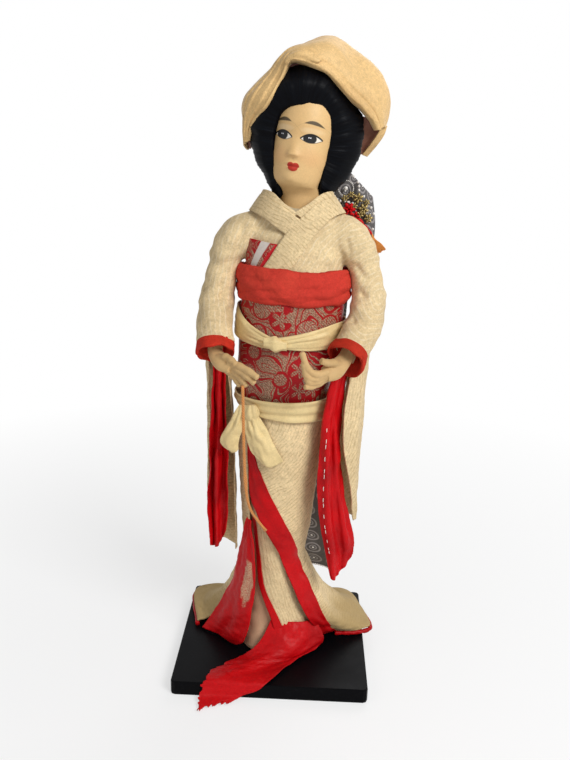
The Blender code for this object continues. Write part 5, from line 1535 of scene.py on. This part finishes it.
class DOLL_OT_sleeve_drops(bpy.types.Operator):
    """Long hanging sleeve bags and the red lining at their open side"""
    bl_idname = "doll.sleeve_drops"
    bl_label = "Sleeve bags"

    def execute(self, context):
        right = [[(-46.5, -11, 220), (-48, -5, 227), (-46, 1, 235), (-39.5, 3, 237),
                  (-36, 0, 234), (-36, -8, 222)],
                 [(-45, -11.5, 170), (-47, -4, 170), (-44.5, 5, 170), (-38, 9, 170),
                  (-32, 6, 170), (-31, -6, 170)],
                 [(-45.5, -9.5, 112), (-47, -3, 111), (-43.5, 5, 109), (-37, 8, 108),
                  (-29.5, 5, 106), (-28.5, -4, 106)],
                 [(-43.5, -7.5, 80), (-44, -2, 77), (-41, 4, 73), (-35.5, 7, 71),
                  (-28.5, 4, 68), (-27.5, -3, 68)]]
        left = [[(46.5, -19, 216), (51.5, -14, 219), (56, -6, 228), (57.5, 0, 238),
                 (52, 3.5, 240), (47, -2, 232)],
                [(42, -22, 165), (51, -16, 165), (54.5, -7, 165), (55.5, 4, 165),
                 (49.5, 9, 165), (42, 4, 165)],
                [(49, -17, 125), (53, -11, 125), (54.5, -4, 125), (53.5, 4, 125),
                 (47.5, 9, 125), (39, 5, 125)],
                [(52.5, -10, 97), (54, -6, 96), (54, -1, 95), (51.5, 4, 95),
                 (46, 8, 95), (38, 5, 96)]]
        soft = lambda u, v, p: 0.45 * rumple(u * 1.4, v * 0.4, 14, 3) + 0.15 * rumple(u, v, 7, 5)
        cloth("sleeve_bag_right_crepe", surface(right, 80, 110), "cream", ["sleeve_bag_right"], "hung",
              thick=0.9, relief=soft)
        cloth("sleeve_bag_left_crepe", surface(left, 80, 110), "cream", ["sleeve_bag_left"], "hung",
              thick=0.9, relief=soft)
        lining = [[(-42.6, -11.4, 216), (-41, -9.5, 217), (-39.5, -13.5, 216), (-37.8, -9.5, 217),
                   (-36.2, -13, 216)],
                  [(-43.5, -18, 165), (-41.5, -12, 165), (-38.5, -18, 165), (-35.5, -12, 165),
                   (-33.5, -17.5, 165)],
                  [(-45.5, -16.5, 110), (-43, -10.5, 110), (-40, -17, 108), (-36, -11, 110),
                   (-31.5, -16.5, 112)],
                  [(-43.5, -14.5, 76), (-42, -10.5, 74), (-39.5, -15, 76), (-36.5, -11, 80),
                   (-34, -14.5, 87)]]
        folds = lambda u, v, p: (0.75 * rumple(u, v * 0.12, 5.5, 3) + 0.35 * rumple(u, v * 0.5, 9, 6)
                                 + 0.12 * rumple(u, v, 3.5, 8))
        cloth("sleeve_lining_right_silk", surface(lining, 90, 150), "red", ["sleeve_lining_right"],
              "hung", thick=0.7, relief=folds)
        lining = [[(36.5, -24, 214), (38.5, -26.5, 215), (40.5, -20, 215), (43, -17.5, 216),
                   (45.5, -15.5, 216)],
                  [(28.5, -25.5, 172), (32.5, -28, 172), (34.5, -21, 172), (38.5, -19.5, 170),
                   (41, -13, 170)],
                  [(27.5, -27, 120), (34, -29, 120), (36.5, -21.5, 120), (41.5, -20.5, 120),
                   (44, -13, 120)],
                  [(33, -25.5, 85), (39, -27, 85), (42, -20, 85), (48, -20.5, 85),
                   (53, -15, 88)],
                  [(38.5, -23.5, 60), (41.5, -24, 59), (44, -20.5, 63), (48.5, -20, 68),
                   (53, -17.5, 76)]]
        cloth("sleeve_lining_left_silk", surface(lining, 100, 170), "red", ["sleeve_lining_left"],
              "hung", thick=0.7, relief=folds)
        return {"FINISHED"}


# Hands

class DOLL_OT_hands(bpy.types.Operator):
    """Both hands, palm and fingers fused"""
    bl_idname = "doll.hands"
    bl_label = "Hands"

    def execute(self, context):
        wrist, ahead = arm_end(RIGHT_ARM)
        palm = [wrist - ahead * 4, wrist + ahead * 1, wrist + ahead * 5.5, (-37.5, -26.5, 211.5),
                (-33.5, -30.5, 209.6), (-28, -34.5, 208.4)]
        sizes = [(4.9, 4.6), (4.9, 4.4), (4.7, 4.1), (5.2, 3.8), (6, 3.7), (4.9, 3)]
        fingers = [
            ([(-30, -34, 210.6), (-23.5, -38.5, 210.4), (-17, -42.5, 208.3),
              (-11.5, -45.5, 205.3)], 2, 1.35),
            ([(-30, -33.5, 208.6), (-24, -38, 207.6), (-18.5, -41.5, 204.9),
              (-13.5, -43.8, 201.2)], 2, 1.35),
            ([(-30.5, -32.8, 206.8), (-25.5, -36.6, 204.9), (-21.5, -39.5, 201.8),
              (-18.6, -41.4, 198.4)], 1.9, 1.3),
            ([(-31.5, -31.6, 205.6), (-27.8, -34.6, 203.2), (-25, -37, 200.4),
              (-22.8, -38.8, 197.7)], 1.8, 1.2),
            ([(-37, -28, 212.4), (-32.5, -32, 214), (-28.5, -36, 213.2),
              (-25.5, -38.6, 211.3)], 2.1, 1.4)]
        self.hand("right_hand_silk", palm, sizes, fingers, "hand_right")
        wrist, ahead = arm_end(LEFT_ARM)
        palm = [wrist - ahead * 4, wrist + ahead * 1, wrist + ahead * 5.5, (38.4, -32, 212.6),
                (34, -37.5, 209.5), (28.5, -42, 208)]
        fingers = [
            ([(30, -42, 209.6), (23.5, -46.5, 209.2), (18, -49.5, 213.4),
              (14.2, -51, 223.6)], 2, 1.35),
            ([(30, -41.5, 208), (22.5, -46, 206.4), (17.4, -48.8, 209),
              (15.4, -50.4, 217)], 2, 1.35),
            ([(30, -41, 206.6), (23.5, -44.6, 204), (18.8, -47.2, 204.8),
              (16.8, -49.4, 211)], 1.9, 1.3),
            ([(30.5, -39.6, 205.6), (25, -42.6, 202.4), (20.6, -45.2, 201),
              (16.4, -48.4, 201.6)], 1.8, 1.2),
            ([(37, -34.5, 212.6), (33.5, -39.6, 214.8), (29.4, -43.6, 215.8),
              (25.6, -46.4, 217.6)], 2.2, 1.4)]
        self.hand("left_hand_silk", palm, sizes, fingers, "hand_left")
        return {"FINISHED"}

    def hand(self, name, palm, sizes, fingers, node):
        rings = pipe_rings(resample(palm, 22), pair_route(sizes, 22), 24)
        parts = [grid_object(name, grid_points(rings), ring=True, caps=True)]
        for route, root, tip in fingers:
            points = resample(route, 26)
            radii = [1.28 * root + (1.42 * tip - 1.28 * root) * i / 25 for i in range(26)]
            radii = [r * (1 + 0.07 * cos(i * 0.75)) * sqrt(min(1, (26.3 - i) / 2.4))
                     for i, r in enumerate(radii)]
            rings = pipe_rings(points, [(r, r) for r in radii], 16)
            parts.append(grid_object(name + "_finger", grid_points(rings), ring=True, caps=True))
        made = fused(name, parts, HAND_VOXEL, 0.5, 3)
        finish_piece(made, "hand", [node])


# Head and hair

HEAD_CENTRE = Vector((9, 0, 336))
HEAD_TILT = 8
HEAD_TURN = -13
NOSE_LENGTH = 3.4
EYE_HEIGHT = 8
EYE_SPREAD = 8.5
MOUTH_HEIGHT = -8.5
HEAD_RINGS = [
    (-37, 14, 9.6, 10.4, 0), (-29.7, 13.2, 9.4, 10, 0), (-25, 13, 9.6, 10, 0.1),
    (-21.5, 13.2, 11.2, 10.4, 0.5),
    (-19.5, 13.7, 13.4, 11, 0.85), (-16.8, 14.5, 15.4, 12.6, 1), (-12.8, 15.5, 16.6, 14.4, 1),
    (-9.5, 16, 17, 15.5, 1), (-6.5, 16.6, 17.1, 16.3, 1), (-3, 17, 17.2, 17, 1),
    (1.5, 17.2, 17.3, 17.8, 1), (7, 17.6, 17, 18.3, 1), (12, 17.7, 17.1, 18.5, 1),
    (18, 17.5, 17.2, 18.3, 1), (25, 16.3, 16.1, 17.1, 1), (31, 13.4, 13.4, 14.4, 1),
    (35, 9.4, 9.6, 10.4, 1), (37.3, 4.6, 4.8, 5.2, 1)]


def bump_at(x, h, at_x, at_h, wide, tall):
    """A soft rise, 1 at its middle."""
    return exp(-((x - at_x) / wide) ** 2 - ((h - at_h) / tall) ** 2)


def face_relief(x, h):
    """How far the face stands forward of its smooth oval at a point."""
    nose_low = MOUTH_HEIGHT + 5.2
    rise = min(max((EYE_HEIGHT + 3 - h) / (EYE_HEIGHT + 3 - nose_low - 1.5), 0), 1)
    if h < nose_low + 1.5:
        rise = exp(-((h - nose_low - 1.5) / 1.9) ** 2)
    nose = 0.68 * NOSE_LENGTH * rise ** 2 * exp(-(x / (2.5 + 1.2 * rise)) ** 2)
    wings = sum(bump_at(x, h, s * 2.4, nose_low + 1.2, 1.5, 1.5) for s in (-1, 1))
    sockets = sum(bump_at(x, h, s * EYE_SPREAD, EYE_HEIGHT, 4.6, 3) for s in (-1, 1))
    balls = sum(bump_at(x, h, s * EYE_SPREAD, EYE_HEIGHT - 0.2, 3.6, 2.2) for s in (-1, 1))
    lips = bump_at(x, h, 0, MOUTH_HEIGHT + 1.3, 3.4, 1) + bump_at(x, h, 0, MOUTH_HEIGHT - 1.5, 2.8, 1.1)
    parting = bump_at(x, h, 0, MOUTH_HEIGHT, 3.6, 0.5)
    groove = bump_at(x, h, 0, MOUTH_HEIGHT + 3.8, 1, 1.2)
    chin = bump_at(x, h, 0, MOUTH_HEIGHT - 7.5, 4.5, 2.6)
    cheeks = sum(bump_at(x, h, s * 9.5, MOUTH_HEIGHT + 5.5, 5, 5) for s in (-1, 1))
    brow = bump_at(x, h, 0, EYE_HEIGHT + 7.5, 13, 3.5)
    return (nose + 0.6 * wings - 1.1 * sockets + 0.8 * balls + 1 * lips - 0.5 * parting - 0.3 * groove
            + 0.7 * chin + 0.5 * cheeks + 0.35 * brow)


class DOLL_OT_head(bpy.types.Operator):
    """Head and neck, with the painted face"""
    bl_idname = "doll.head"
    bl_label = "Head"

    def execute(self, context):
        sides, levels = 160, 150
        heights = list(np.linspace(-37, 37.3, levels))
        rows, faces_uv = [], []
        for h in heights:
            wide, front, back, share = table_at(HEAD_RINGS, h)
            share = min(max(share, 0), 1)
            turn = (Matrix.Rotation(radians(HEAD_TILT * share), 3, "Y")
                    @ Matrix.Rotation(radians(HEAD_TURN * share), 3, "Z"))
            ring, flat = [], []
            for i in range(sides + 1):
                t = 2 * pi * i / sides - pi
                angle = t - 0.42 * sin(t)
                x = wide * sin(angle)
                y = -front * cos(angle) if cos(angle) > 0 else -back * cos(angle)
                if cos(angle) > 0.2:
                    y -= face_relief(x, h) * min(1, (cos(angle) - 0.2) * 3)
                ring.append(HEAD_CENTRE + turn @ Vector((x, y, h)) + Vector((1, 2.5, 0)) * (1 - share))
                beyond = max(0, abs(angle) - pi / 2)
                unrolled = x if not beyond else (1 if angle > 0 else -1) * (wide + 17 * beyond)
                flat.append((unrolled / CLOTH_UNIT + 0.5, h / CLOTH_UNIT + 0.5))
            rows.append(ring[:-1])
            faces_uv.append(flat)
        made = grid_object("painted_head", grid_points(rows), ring=True, caps=True)
        layer = made.data.uv_layers["cloth"].data
        for r in range(levels - 1):
            for i in range(sides):
                start = (r * sides + i) * 4
                for k, (dr, di) in enumerate(((0, 0), (0, 1), (1, 1), (1, 0))):
                    layer[start + k].uv = faces_uv[r + dr][i + di]
        face_out(made)
        finish_piece(made, "face", ["head"])
        return {"FINISHED"}


HAIRLINE = [  # polar angle from straight up, clockwise as seen from the front, then x, y, z
    (0, 8.6, -16.3, 364.2), (20, 15.5, -14.8, 363.2), (42, 22.2, -11, 358.8), (62, 25.6, -8, 350.6),
    (85, 26.8, -6.5, 341), (110, 25.4, -6, 331), (130, 23.2, -5.5, 321), (150, 22, -4.5, 313),
    (165, 22, 2, 309.5), (180, 11, 14.5, 308.5), (195, -1.5, 3, 308.5), (210, -1.9, -4.5, 310),
    (228, -4.4, -6.5, 318.5), (250, -7.2, -7.5, 329), (275, -8.8, -8, 341), (298, -8, -9, 350),
    (320, -4.6, -12, 358.8), (340, 1.4, -15.2, 363.2), (360, 8.6, -16.3, 364.2)]
HAIR_RIM = [  # polar angle, then the outline of the hair mass, x, y, z
    (0, 10, -4, 386.6), (20, 25.3, -3, 383.6), (42, 37, 2, 370.5), (62, 45.6, 5, 357.5),
    (85, 46.9, 6, 343.5), (110, 42, 8, 326.5), (130, 34.5, 8, 316.5), (150, 27.5, 7, 311),
    (165, 24.5, 12, 309), (180, 11, 24, 308), (195, -3.5, 11, 308.5), (210, -6.8, 3, 310.5),
    (228, -10, 4, 317), (250, -17.5, 6, 328.5), (275, -22.9, 6, 344), (298, -23.6, 4, 354),
    (320, -17.5, 1.5, 367), (340, -8, -2, 379.5), (360, 10, -4, 386.6)]


class DOLL_OT_hair(bpy.types.Operator):
    """Swept-up hair: strands run from the hairline over the rim to the back"""
    bl_idname = "doll.hair"
    bl_label = "Hair"

    def execute(self, context):
        count, levels = 240, 90
        columns = []
        for i in range(count):
            polar = 360 * i / count
            start = Vector(table_at(HAIRLINE, polar))
            rim = Vector(table_at(HAIR_RIM, polar))
            middle = Vector((12, 6, 346))
            spread = (rim - start)
            low = 0.5 - 0.5 * cos(radians(polar))
            front = start + spread * 0.42 + Vector((0, -5.5 * (1 - low * 0.75), 0)) + (rim - middle) * 0.06
            tuck = start + Vector((0, 2.5, 0)) - (rim - middle) * 0.08
            behind = rim + (middle - rim) * 0.22 + Vector((0, 13, 0))
            crown = middle + (rim - middle) * 0.32 + Vector((0, 22 - 2 * low, 4))
            last = Vector((12.5, 29.5, 350)) + (rim - middle) * 0.03
            columns.append(resample([tuck, start, front, rim, behind, crown, last], levels))
        rows = [[columns[i][j] for i in range(count)] for j in range(levels)]
        points = grid_points(rows)

        def strands(u, v, p):
            share = np.linspace(0, 2 * pi, count, endpoint=False)[None, :]
            fine = np.sin(share * 97 + 0.4 * np.sin(share * 13)) + 0.7 * np.sin(share * 61 + 1)
            lock = np.sin(share * 19 + 0.6 * np.sin(share * 5)) + 0.6 * np.sin(share * 11 + 2)
            ease = np.clip(v / 8, 0, 1)
            return ease * (0.14 * fine + 0.32 * lock)
        closed_piece("swept_hair", raised(points, strands, True), "hair", "hair")
        return {"FINISHED"}


HOOD_FRONT = [(-23.8, 3, 341.5), (-20.4, -3.5, 352.4), (-11, -14, 363.8), (-2.8, -13, 378.8),
              (1.5, -15.5, 387.6), (13, -17, 385.6), (24.6, -15, 380.5), (36.9, -10.5, 369.2),
              (46.2, -6.5, 362), (52.5, -3, 355.5), (56.3, 1, 350)]
HOOD_CREST = [(-24.4, 12, 336.5), (-26.6, 8, 352), (-27, 5.5, 365), (-14.4, 5.5, 378.6),
              (3, 5.5, 393.8), (17, 6, 401), (30.1, 7.5, 401), (45, 9, 390.5),
              (58, 11.5, 379), (62.2, 13.5, 367), (60.5, 15, 351)]
HOOD_REAR = [(-21.8, 24, 337), (-25, 27, 350), (-23, 29, 361), (-13, 31, 373),
             (1, 32, 383), (15, 33, 389), (30, 33.5, 387.5), (44, 34, 378),
             (54, 34, 366), (55, 32, 352), (49.6, 27, 336)]


def halfway(first, second, shift):
    """The points midway between two edges, shifted."""
    return [tuple((Vector(a) + Vector(b)) / 2 + Vector(shift)) for a, b in zip(first, second)]


class DOLL_OT_hood(bpy.types.Operator):
    """Folded bridal hood: shell, turned-in edge, crossed fold at the top, and its lining"""
    bl_idname = "doll.hood"
    bl_label = "Hood"

    def execute(self, context):
        mid = halfway(HOOD_FRONT, HOOD_CREST, (-0.5, -3.6, 1.6))
        over = halfway(HOOD_CREST, HOOD_REAR, (0, 0, 3.5))
        rows = surface([HOOD_FRONT, mid, HOOD_CREST, over, HOOD_REAR], 190, 120)

        def fold(u, v, p):
            side = np.clip((76 - u) / 16, 0, 1)
            layers = 0
            for start, slope, high in ((2.8, 0.01, 0.9), (7.6, 0.02, 1), (13.5, 0, 0.9)):
                past = v - start - slope * u
                layers = layers + high * np.clip(past / 0.8, 0, 1) * np.exp(-np.clip(past, 0, 99) / 5.5)
            right = np.clip((u - 66) / 12, 0, 1)
            welt = -0.6 * np.exp(-((v - 2.6) / 0.6) ** 2) + 0.8 * np.exp(-((v - 9) / 5.5) ** 2)
            return (side * layers + right * welt + 0.6 * rumple(u, v, 28, 2) * np.clip(v / 10, 0.2, 1)
                    + 0.12 * rumple(u, v, 9, 6))
        shell, _ = thick_grid("bridal_hood", rows, 1, fold)
        centre = Vector((15, 15, 352))
        edge = [Vector(p) for p in HOOD_FRONT]
        turn = [[p + (centre - p).normalized() * inward + Vector((0, back, 0)) for p in edge]
                for inward, back in ((-0.4, -0.6), (1.4, -1.4), (2.6, 1.5), (2.9, 7))]
        turn = surface([[tuple(p) for p in row] for row in turn], 150, 16)
        facing, _ = thick_grid("hood_facing", turn, 0.7, lambda u, v, p: 0.25 * rumple(u, v, 11, 4))
        cross = [[(-1, -12, 388), (4, -14.5, 391.6), (11, -16.5, 391.8), (20, -16.5, 387)],
                 [(-1.2, -15, 385.4), (3, -17.8, 388.6), (9, -18.8, 388.6), (18, -18.2, 385.2)],
                 [(-0.8, -15, 383.4), (3, -17.4, 386.4), (7.5, -18, 386), (14, -17.6, 384.8)]]
        knot, _ = thick_grid("hood_cross_fold", surface(cross, 50, 22), 0.9,
                             lambda u, v, p: 0.35 * np.sin(v * 1.4) + 0.2 * rumple(u, v, 6, 4))
        made = joined("bridal_hood", [shell, facing, knot])
        finish_piece(made, "hood", ["hood"])
        inner = [[p + (centre - p).normalized() * 1.8 for p in row] for row in rows[6:]]
        cloth("hood_russet_lining", inner, "russet", ["hood_lining"], "folded", thick=0.6)
        band = [[(44, 12, 358.5), (56.5, 15, 356)], [(44.5, 15, 349), (56.5, 18, 348)],
                [(43.5, 18, 341.5), (52.5, 22, 341.5)], [(42, 20, 335.5), (48.8, 24.5, 335.8)]]
        cloth("hood_inner_band", surface(band, 20, 60), "mauve", [], "hung", thick=0.8, slot="hood_lining",
              relief=lambda u, v, p: 0.4 * rumple(u * 2, v, 12, 3))
        welt = [[(57.6, 10.5, 353), (61.4, 13, 353)], [(55.8, 11.5, 348.2), (59.8, 14, 347.4)],
                [(52, 15, 342), (55.8, 18, 341)], [(47.4, 20, 335.6), (50.8, 23, 334.6)]]
        cloth("hood_edge_welt", surface(welt, 12, 50), "hood", [], "folded", thick=0.9, slot="hood")
        return {"FINISHED"}


# Bow

BOW_BACK = 29


class DOLL_OT_bow(bpy.types.Operator):
    """Grey bow at the back: knot, two loops and the long tail"""
    bl_idname = "doll.bow"
    bl_label = "Back bow"

    def execute(self, context):
        back = BOW_BACK
        knot = ball_rings((6, back + 4.5, 228), (9.5, 5, 11), 30, 48)
        for j, ring in enumerate(knot):
            for i, p in enumerate(ring):
                p += (p - Vector((6, back + 4.5, 228))) * 0.07 * sin(7 * 2 * pi * i / 48 + j * 0.15)
        padded_piece("bow_soft_knot", knot, "grey", "bow_knot")
        loops = [("bow_upper_loop", "bow_loop_upper",
                  [(-0.5, 236, 14, 222), (5, 252, 28, 236), (11, 270, 42, 250),
                   (17, 288, 53, 264), (24, 304, 58.5, 277), (31, 316, 59.5, 292),
                   (40.8, 324.8, 57, 309)],
                  [(4.5, 3), (6.5, 4.6), (7.4, 5.2), (7.6, 5.2), (7.4, 4.8), (7.2, 4), (7, 1.6)]),
                 ("bow_lower_loop", "bow_loop_lower",
                  [(6.8, 217, -7, 221.5), (7.4, 202.5, -21, 210), (4.8, 187, -29.5, 196),
                   (-1.5, 172.5, -31.5, 184.5)],
                  [(4.5, 3), (6.8, 4.8), (7.4, 5), (7, 2)])]
        for name, node, edges, sizes in loops:
            left = resample([(e[0], e[1], 0) for e in edges], 60)
            right = resample([(e[2], e[3], 0) for e in edges], 60)
            depth = resample([(s[0], s[1], 0) for s in sizes], 60)
            rings = []
            for j in range(60):
                ring = []
                for i in range(80):
                    t = 2 * pi * i / 80
                    flat = abs(cos(t)) ** 0.75 * (1 if cos(t) > 0 else -1)
                    share = 0.5 + 0.5 * flat
                    x = left[j].x + (right[j].x - left[j].x) * share
                    z = left[j].y + (right[j].y - left[j].y) * share
                    gather = 1 - 0.75 * j / 59
                    pleat = 0.9 * gather * sin(share * 21 + j * 0.03) + 0.5 * sin(share * 9 + j * 0.11)
                    ring.append(Vector((x, back + depth[j].x - depth[j].y * sin(t) + pleat, z)))
                rings.append(ring)
            padded_piece(name, rings, "grey", node)
        rows = [[(8, back + 3.6, 215.8), (11.5, back + 3.6, 218.2), (15, back + 3.6, 219.4)],
                [(10.5, back + 1.8, 160), (17, back + 2.6, 160), (23.5, back + 1.8, 160)],
                [(14, back + 1, 100), (23, back + 2.5, 100), (32, back + 1, 100)],
                [(18.5, back + 6, 60), (29.5, back + 7.5, 58), (40, back + 6, 55)],
                [(20.5, back + 14.5, 33.5), (33, back + 16, 31), (45, back + 15, 27)]]
        soft = lambda u, v, p: 0.5 * rumple(u, v * 0.6, 16, 2)
        tail = surface(rows, 40, 130)
        cloth("bow_long_tail", tail, "grey", ["bow_tail"], "hung", thick=0.9, relief=soft)
        strap = [[(37.5, 12.5, 245), (42.5, 14.5, 245)], [(36.8, 12, 230), (41.8, 14, 230)],
                 [(36.2, 12, 214), (41.2, 14, 214)]]
        cloth("beaded_side_strap", surface(strap, 12, 50), "grey", [], "hung", thick=0.8,
              slot="bow_loop_lower", relief=lambda u, v, p: 0.2 * rumple(u, v, 9))
        return {"FINISHED"}


def copies(name, places, look, segments, rings):
    """A ball copied to each place (centre, scale, turn) on the upper bow loop, and joined."""
    bpy.ops.mesh.primitive_uv_sphere_add(segments=segments, ring_count=rings, radius=1)
    model = bpy.context.active_object
    model.select_set(False)
    model.data.shade_smooth()
    parts = []
    deck = bpy.context.scene.doll_sizes.deck
    for centre, scale, turn in places:
        part = link_mesh(name, model.data.copy())
        move = Matrix.Translation(Vector(centre) * MM + Vector((0, 0, deck)))
        stretch = Matrix.Diagonal(Vector(scale) * MM).to_4x4()
        part.data.transform(move @ Matrix.Rotation(turn, 4, "Y") @ stretch)
        parts.append(part)
    bpy.data.objects.remove(model)
    finish_piece(joined(name, parts), look, [])


def rosette(centre, radius, count, thick=0.45, start=0):
    """Places of the petals of a flat flower that faces forward."""
    petals = []
    for k in range(count):
        angle = start + 2 * pi * k / count
        across, up = radius * 0.62 * cos(angle), radius * 0.62 * sin(angle)
        petals.append(((centre[0] + across, centre[1], centre[2] + up),
                       (radius * 0.46, radius * thick, radius * 0.3), -angle))
    return petals


class DOLL_OT_trims(bpy.types.Operator):
    """Pearls, gilt flowers, red flower and tassel on the bow; basting on the sleeve lining"""
    bl_idname = "doll.trims"
    bl_label = "Pearls, flowers and stitches"

    def execute(self, context):
        size = context.scene.doll_sizes.pearl / MM / 2
        face = 30

        def pearl(x, z, part=1, y=face):
            return ((x, y, z), (size * part,) * 3, 0)
        wheel = (38.7, 314.3)
        beads = [pearl(wheel[0] + 4.9 * cos(2 * pi * k / 28), wheel[1] + 4.9 * sin(2 * pi * k / 28), 0.55)
                 for k in range(28)]
        beads.append(pearl(wheel[0], wheel[1], 1.7))
        for x, z in ((30.5, 311.4), (31.5, 309), (33.3, 307), (35.4, 306.1), (43, 322.1), (46.4, 318.4),
                     (47.1, 315.8), (47.2, 313.3), (55.8, 302.4), (55, 293.3), (43.5, 304.9), (40.9, 305.5),
                     (53.2, 299.7), (50.6, 309.4), (57.6, 298.6), (57.6, 288.6)):
            beads.append(pearl(x, z, 1.1))
        for k in range(22):
            t = k / 21
            beads.append(pearl(38.5 + 14 * t, 306 - 22 * t * t, 0.45 + 0.3 * (k % 3 == 0), face - 0.6))
        for k in range(7):
            beads.append(pearl(39.8 - 0.1 * k, 243 - 4.4 * k, 0.8, 12))
        for k in range(18):
            t = k / 17
            beads.append(pearl(21 + 24 * t, 33.3 - 6.2 * t * t, 0.75, BOW_BACK + 13.6 + sin(pi * t)))
        copies("sewn_pearls", beads, "pearl", 12, 8)
        gilt = []
        for n, (x, z, r) in enumerate(((38.5, 308, 2.4), (47, 308.2, 3.4), (50.6, 301.2, 3.6),
                                       (54.2, 295.5, 3), (48.8, 298, 2.6), (42.4, 310.4, 2.2),
                                       (44.6, 303, 2.4), (52.6, 305.6, 2.2))):
            gilt += rosette((x, face - 0.4, z), r, 6, start=n * 0.4)
            gilt += rosette((x, face - 1.4, z), r * 0.55, 5, start=n * 0.7)
        copies("gilt_flowers", gilt, "gilt", 12, 8)
        red = rosette((41.1, face - 1.2, 301), 4.2, 6, 0.35)
        red += rosette((41.1, face - 2.6, 301), 2.4, 5, 0.5, 0.5)
        red += rosette((45.4, face - 1, 296.8), 3, 5, 0.35) + [
            ((49.1, face - 1, 293.4), (3, 0.9, 1.5), 0.72), ((52.6, face - 1, 289.8), (2.8, 0.8, 1.3), 0.75),
            ((55.6, face - 1, 286.8), (2.4, 0.7, 1.1), 0.85)]
        copies("red_silk_flower", red, "red", 14, 10)
        strands = []
        for k in range(22):
            spread = (k % 11 - 5) / 5
            layer = (k // 11) * 1.1
            line = [(57, face - 0.5 + layer, 286), (58.6 + 0.8 * spread, face - 0.9 + layer, 282),
                    (61.4 + 2.2 * spread, face - 0.9 + layer, 277.8 + 1.2 * spread),
                    (63.4 + 3.4 * spread, face - 0.4 + layer, 274 + 2.2 * spread - 0.8 * abs(sin(k * 2.3)))]
            rings = pipe_rings(resample(line, 14), [(0.42, 0.42)] * 14, 6)
            strands.append(grid_object("tassel_strand", grid_points(rings), ring=True, caps=True))
        made = joined("orange_tassel", strands)
        face_out(made)
        finish_piece(made, "floss", [])
        dashes = []
        seam = [(31.6, -29.6, 186), (31.4, -30, 165), (31, -30.4, 140), (31.4, -30.6, 115),
                (34.6, -30, 92), (38.6, -27.6, 74)]
        count = 15
        for k in range(count):
            t = 0.16 + 0.8 * (k + 0.25 * sin(k * 2.1)) / count
            middle = curve_point(seam, t + 0.01) + Vector((0.15 * sin(k * 1.7), -0.3, 0))
            line = [curve_point(seam, t), middle, curve_point(seam, t + 0.022)]
            rings = pipe_rings(resample(line, 6), [(0.2, 0.14)] * 6, 6)
            dashes.append(grid_object("stitch", grid_points(rings), ring=True, caps=True))
        made = joined("basting_stitches", dashes)
        face_out(made)
        finish_piece(made, "thread", [])
        return {"FINISHED"}


class DOLL_PT_panel(bpy.types.Panel):
    """Lists the pieces in the order they are made"""
    bl_idname = "DOLL_PT_panel"
    bl_label = "Bridal doll"
    bl_space_type = "VIEW_3D"
    bl_region_type = "UI"
    bl_category = "Doll"

    def draw(self, context):
        for kind in OPERATORS:
            self.layout.operator(kind.bl_idname)
        for group in (context.scene.doll_sizes, context.scene.doll_colours):
            for key in group.__annotations__:
                self.layout.prop(group, key)


OPERATORS = (
    DOLL_OT_stage, DOLL_OT_cord, DOLL_OT_board, DOLL_OT_kimono, DOLL_OT_cuffs, DOLL_OT_collars,
    DOLL_OT_pouch, DOLL_OT_obi, DOLL_OT_obiage, DOLL_OT_obijime, DOLL_OT_sash, DOLL_OT_outer_skirt,
    DOLL_OT_hem, DOLL_OT_border, DOLL_OT_underskirt, DOLL_OT_lining_panel, DOLL_OT_train,
    DOLL_OT_sleeve_drops, DOLL_OT_hands, DOLL_OT_head, DOLL_OT_hair, DOLL_OT_hood, DOLL_OT_bow,
    DOLL_OT_trims,
)
CLASSES = (DollSizes, DollColours) + OPERATORS + (DOLL_PT_panel,)


def register():
    """Add the operators, the panel and the settings."""
    for kind in CLASSES:
        bpy.utils.register_class(kind)
    bpy.types.Scene.doll_sizes = bpy.props.PointerProperty(type=DollSizes)
    bpy.types.Scene.doll_colours = bpy.props.PointerProperty(type=DollColours)


def unregister():
    """Take them away again."""
    del bpy.types.Scene.doll_sizes
    del bpy.types.Scene.doll_colours
    for kind in reversed(CLASSES):
        bpy.utils.unregister_class(kind)


def main():
    """Run every operator in order."""
    register()
    bpy.ops.object.select_all(action="DESELECT")
    for kind in OPERATORS:
        group, call = kind.bl_idname.split(".")
        getattr(getattr(bpy.ops, group), call)()


if __name__ == "__main__":
    main()
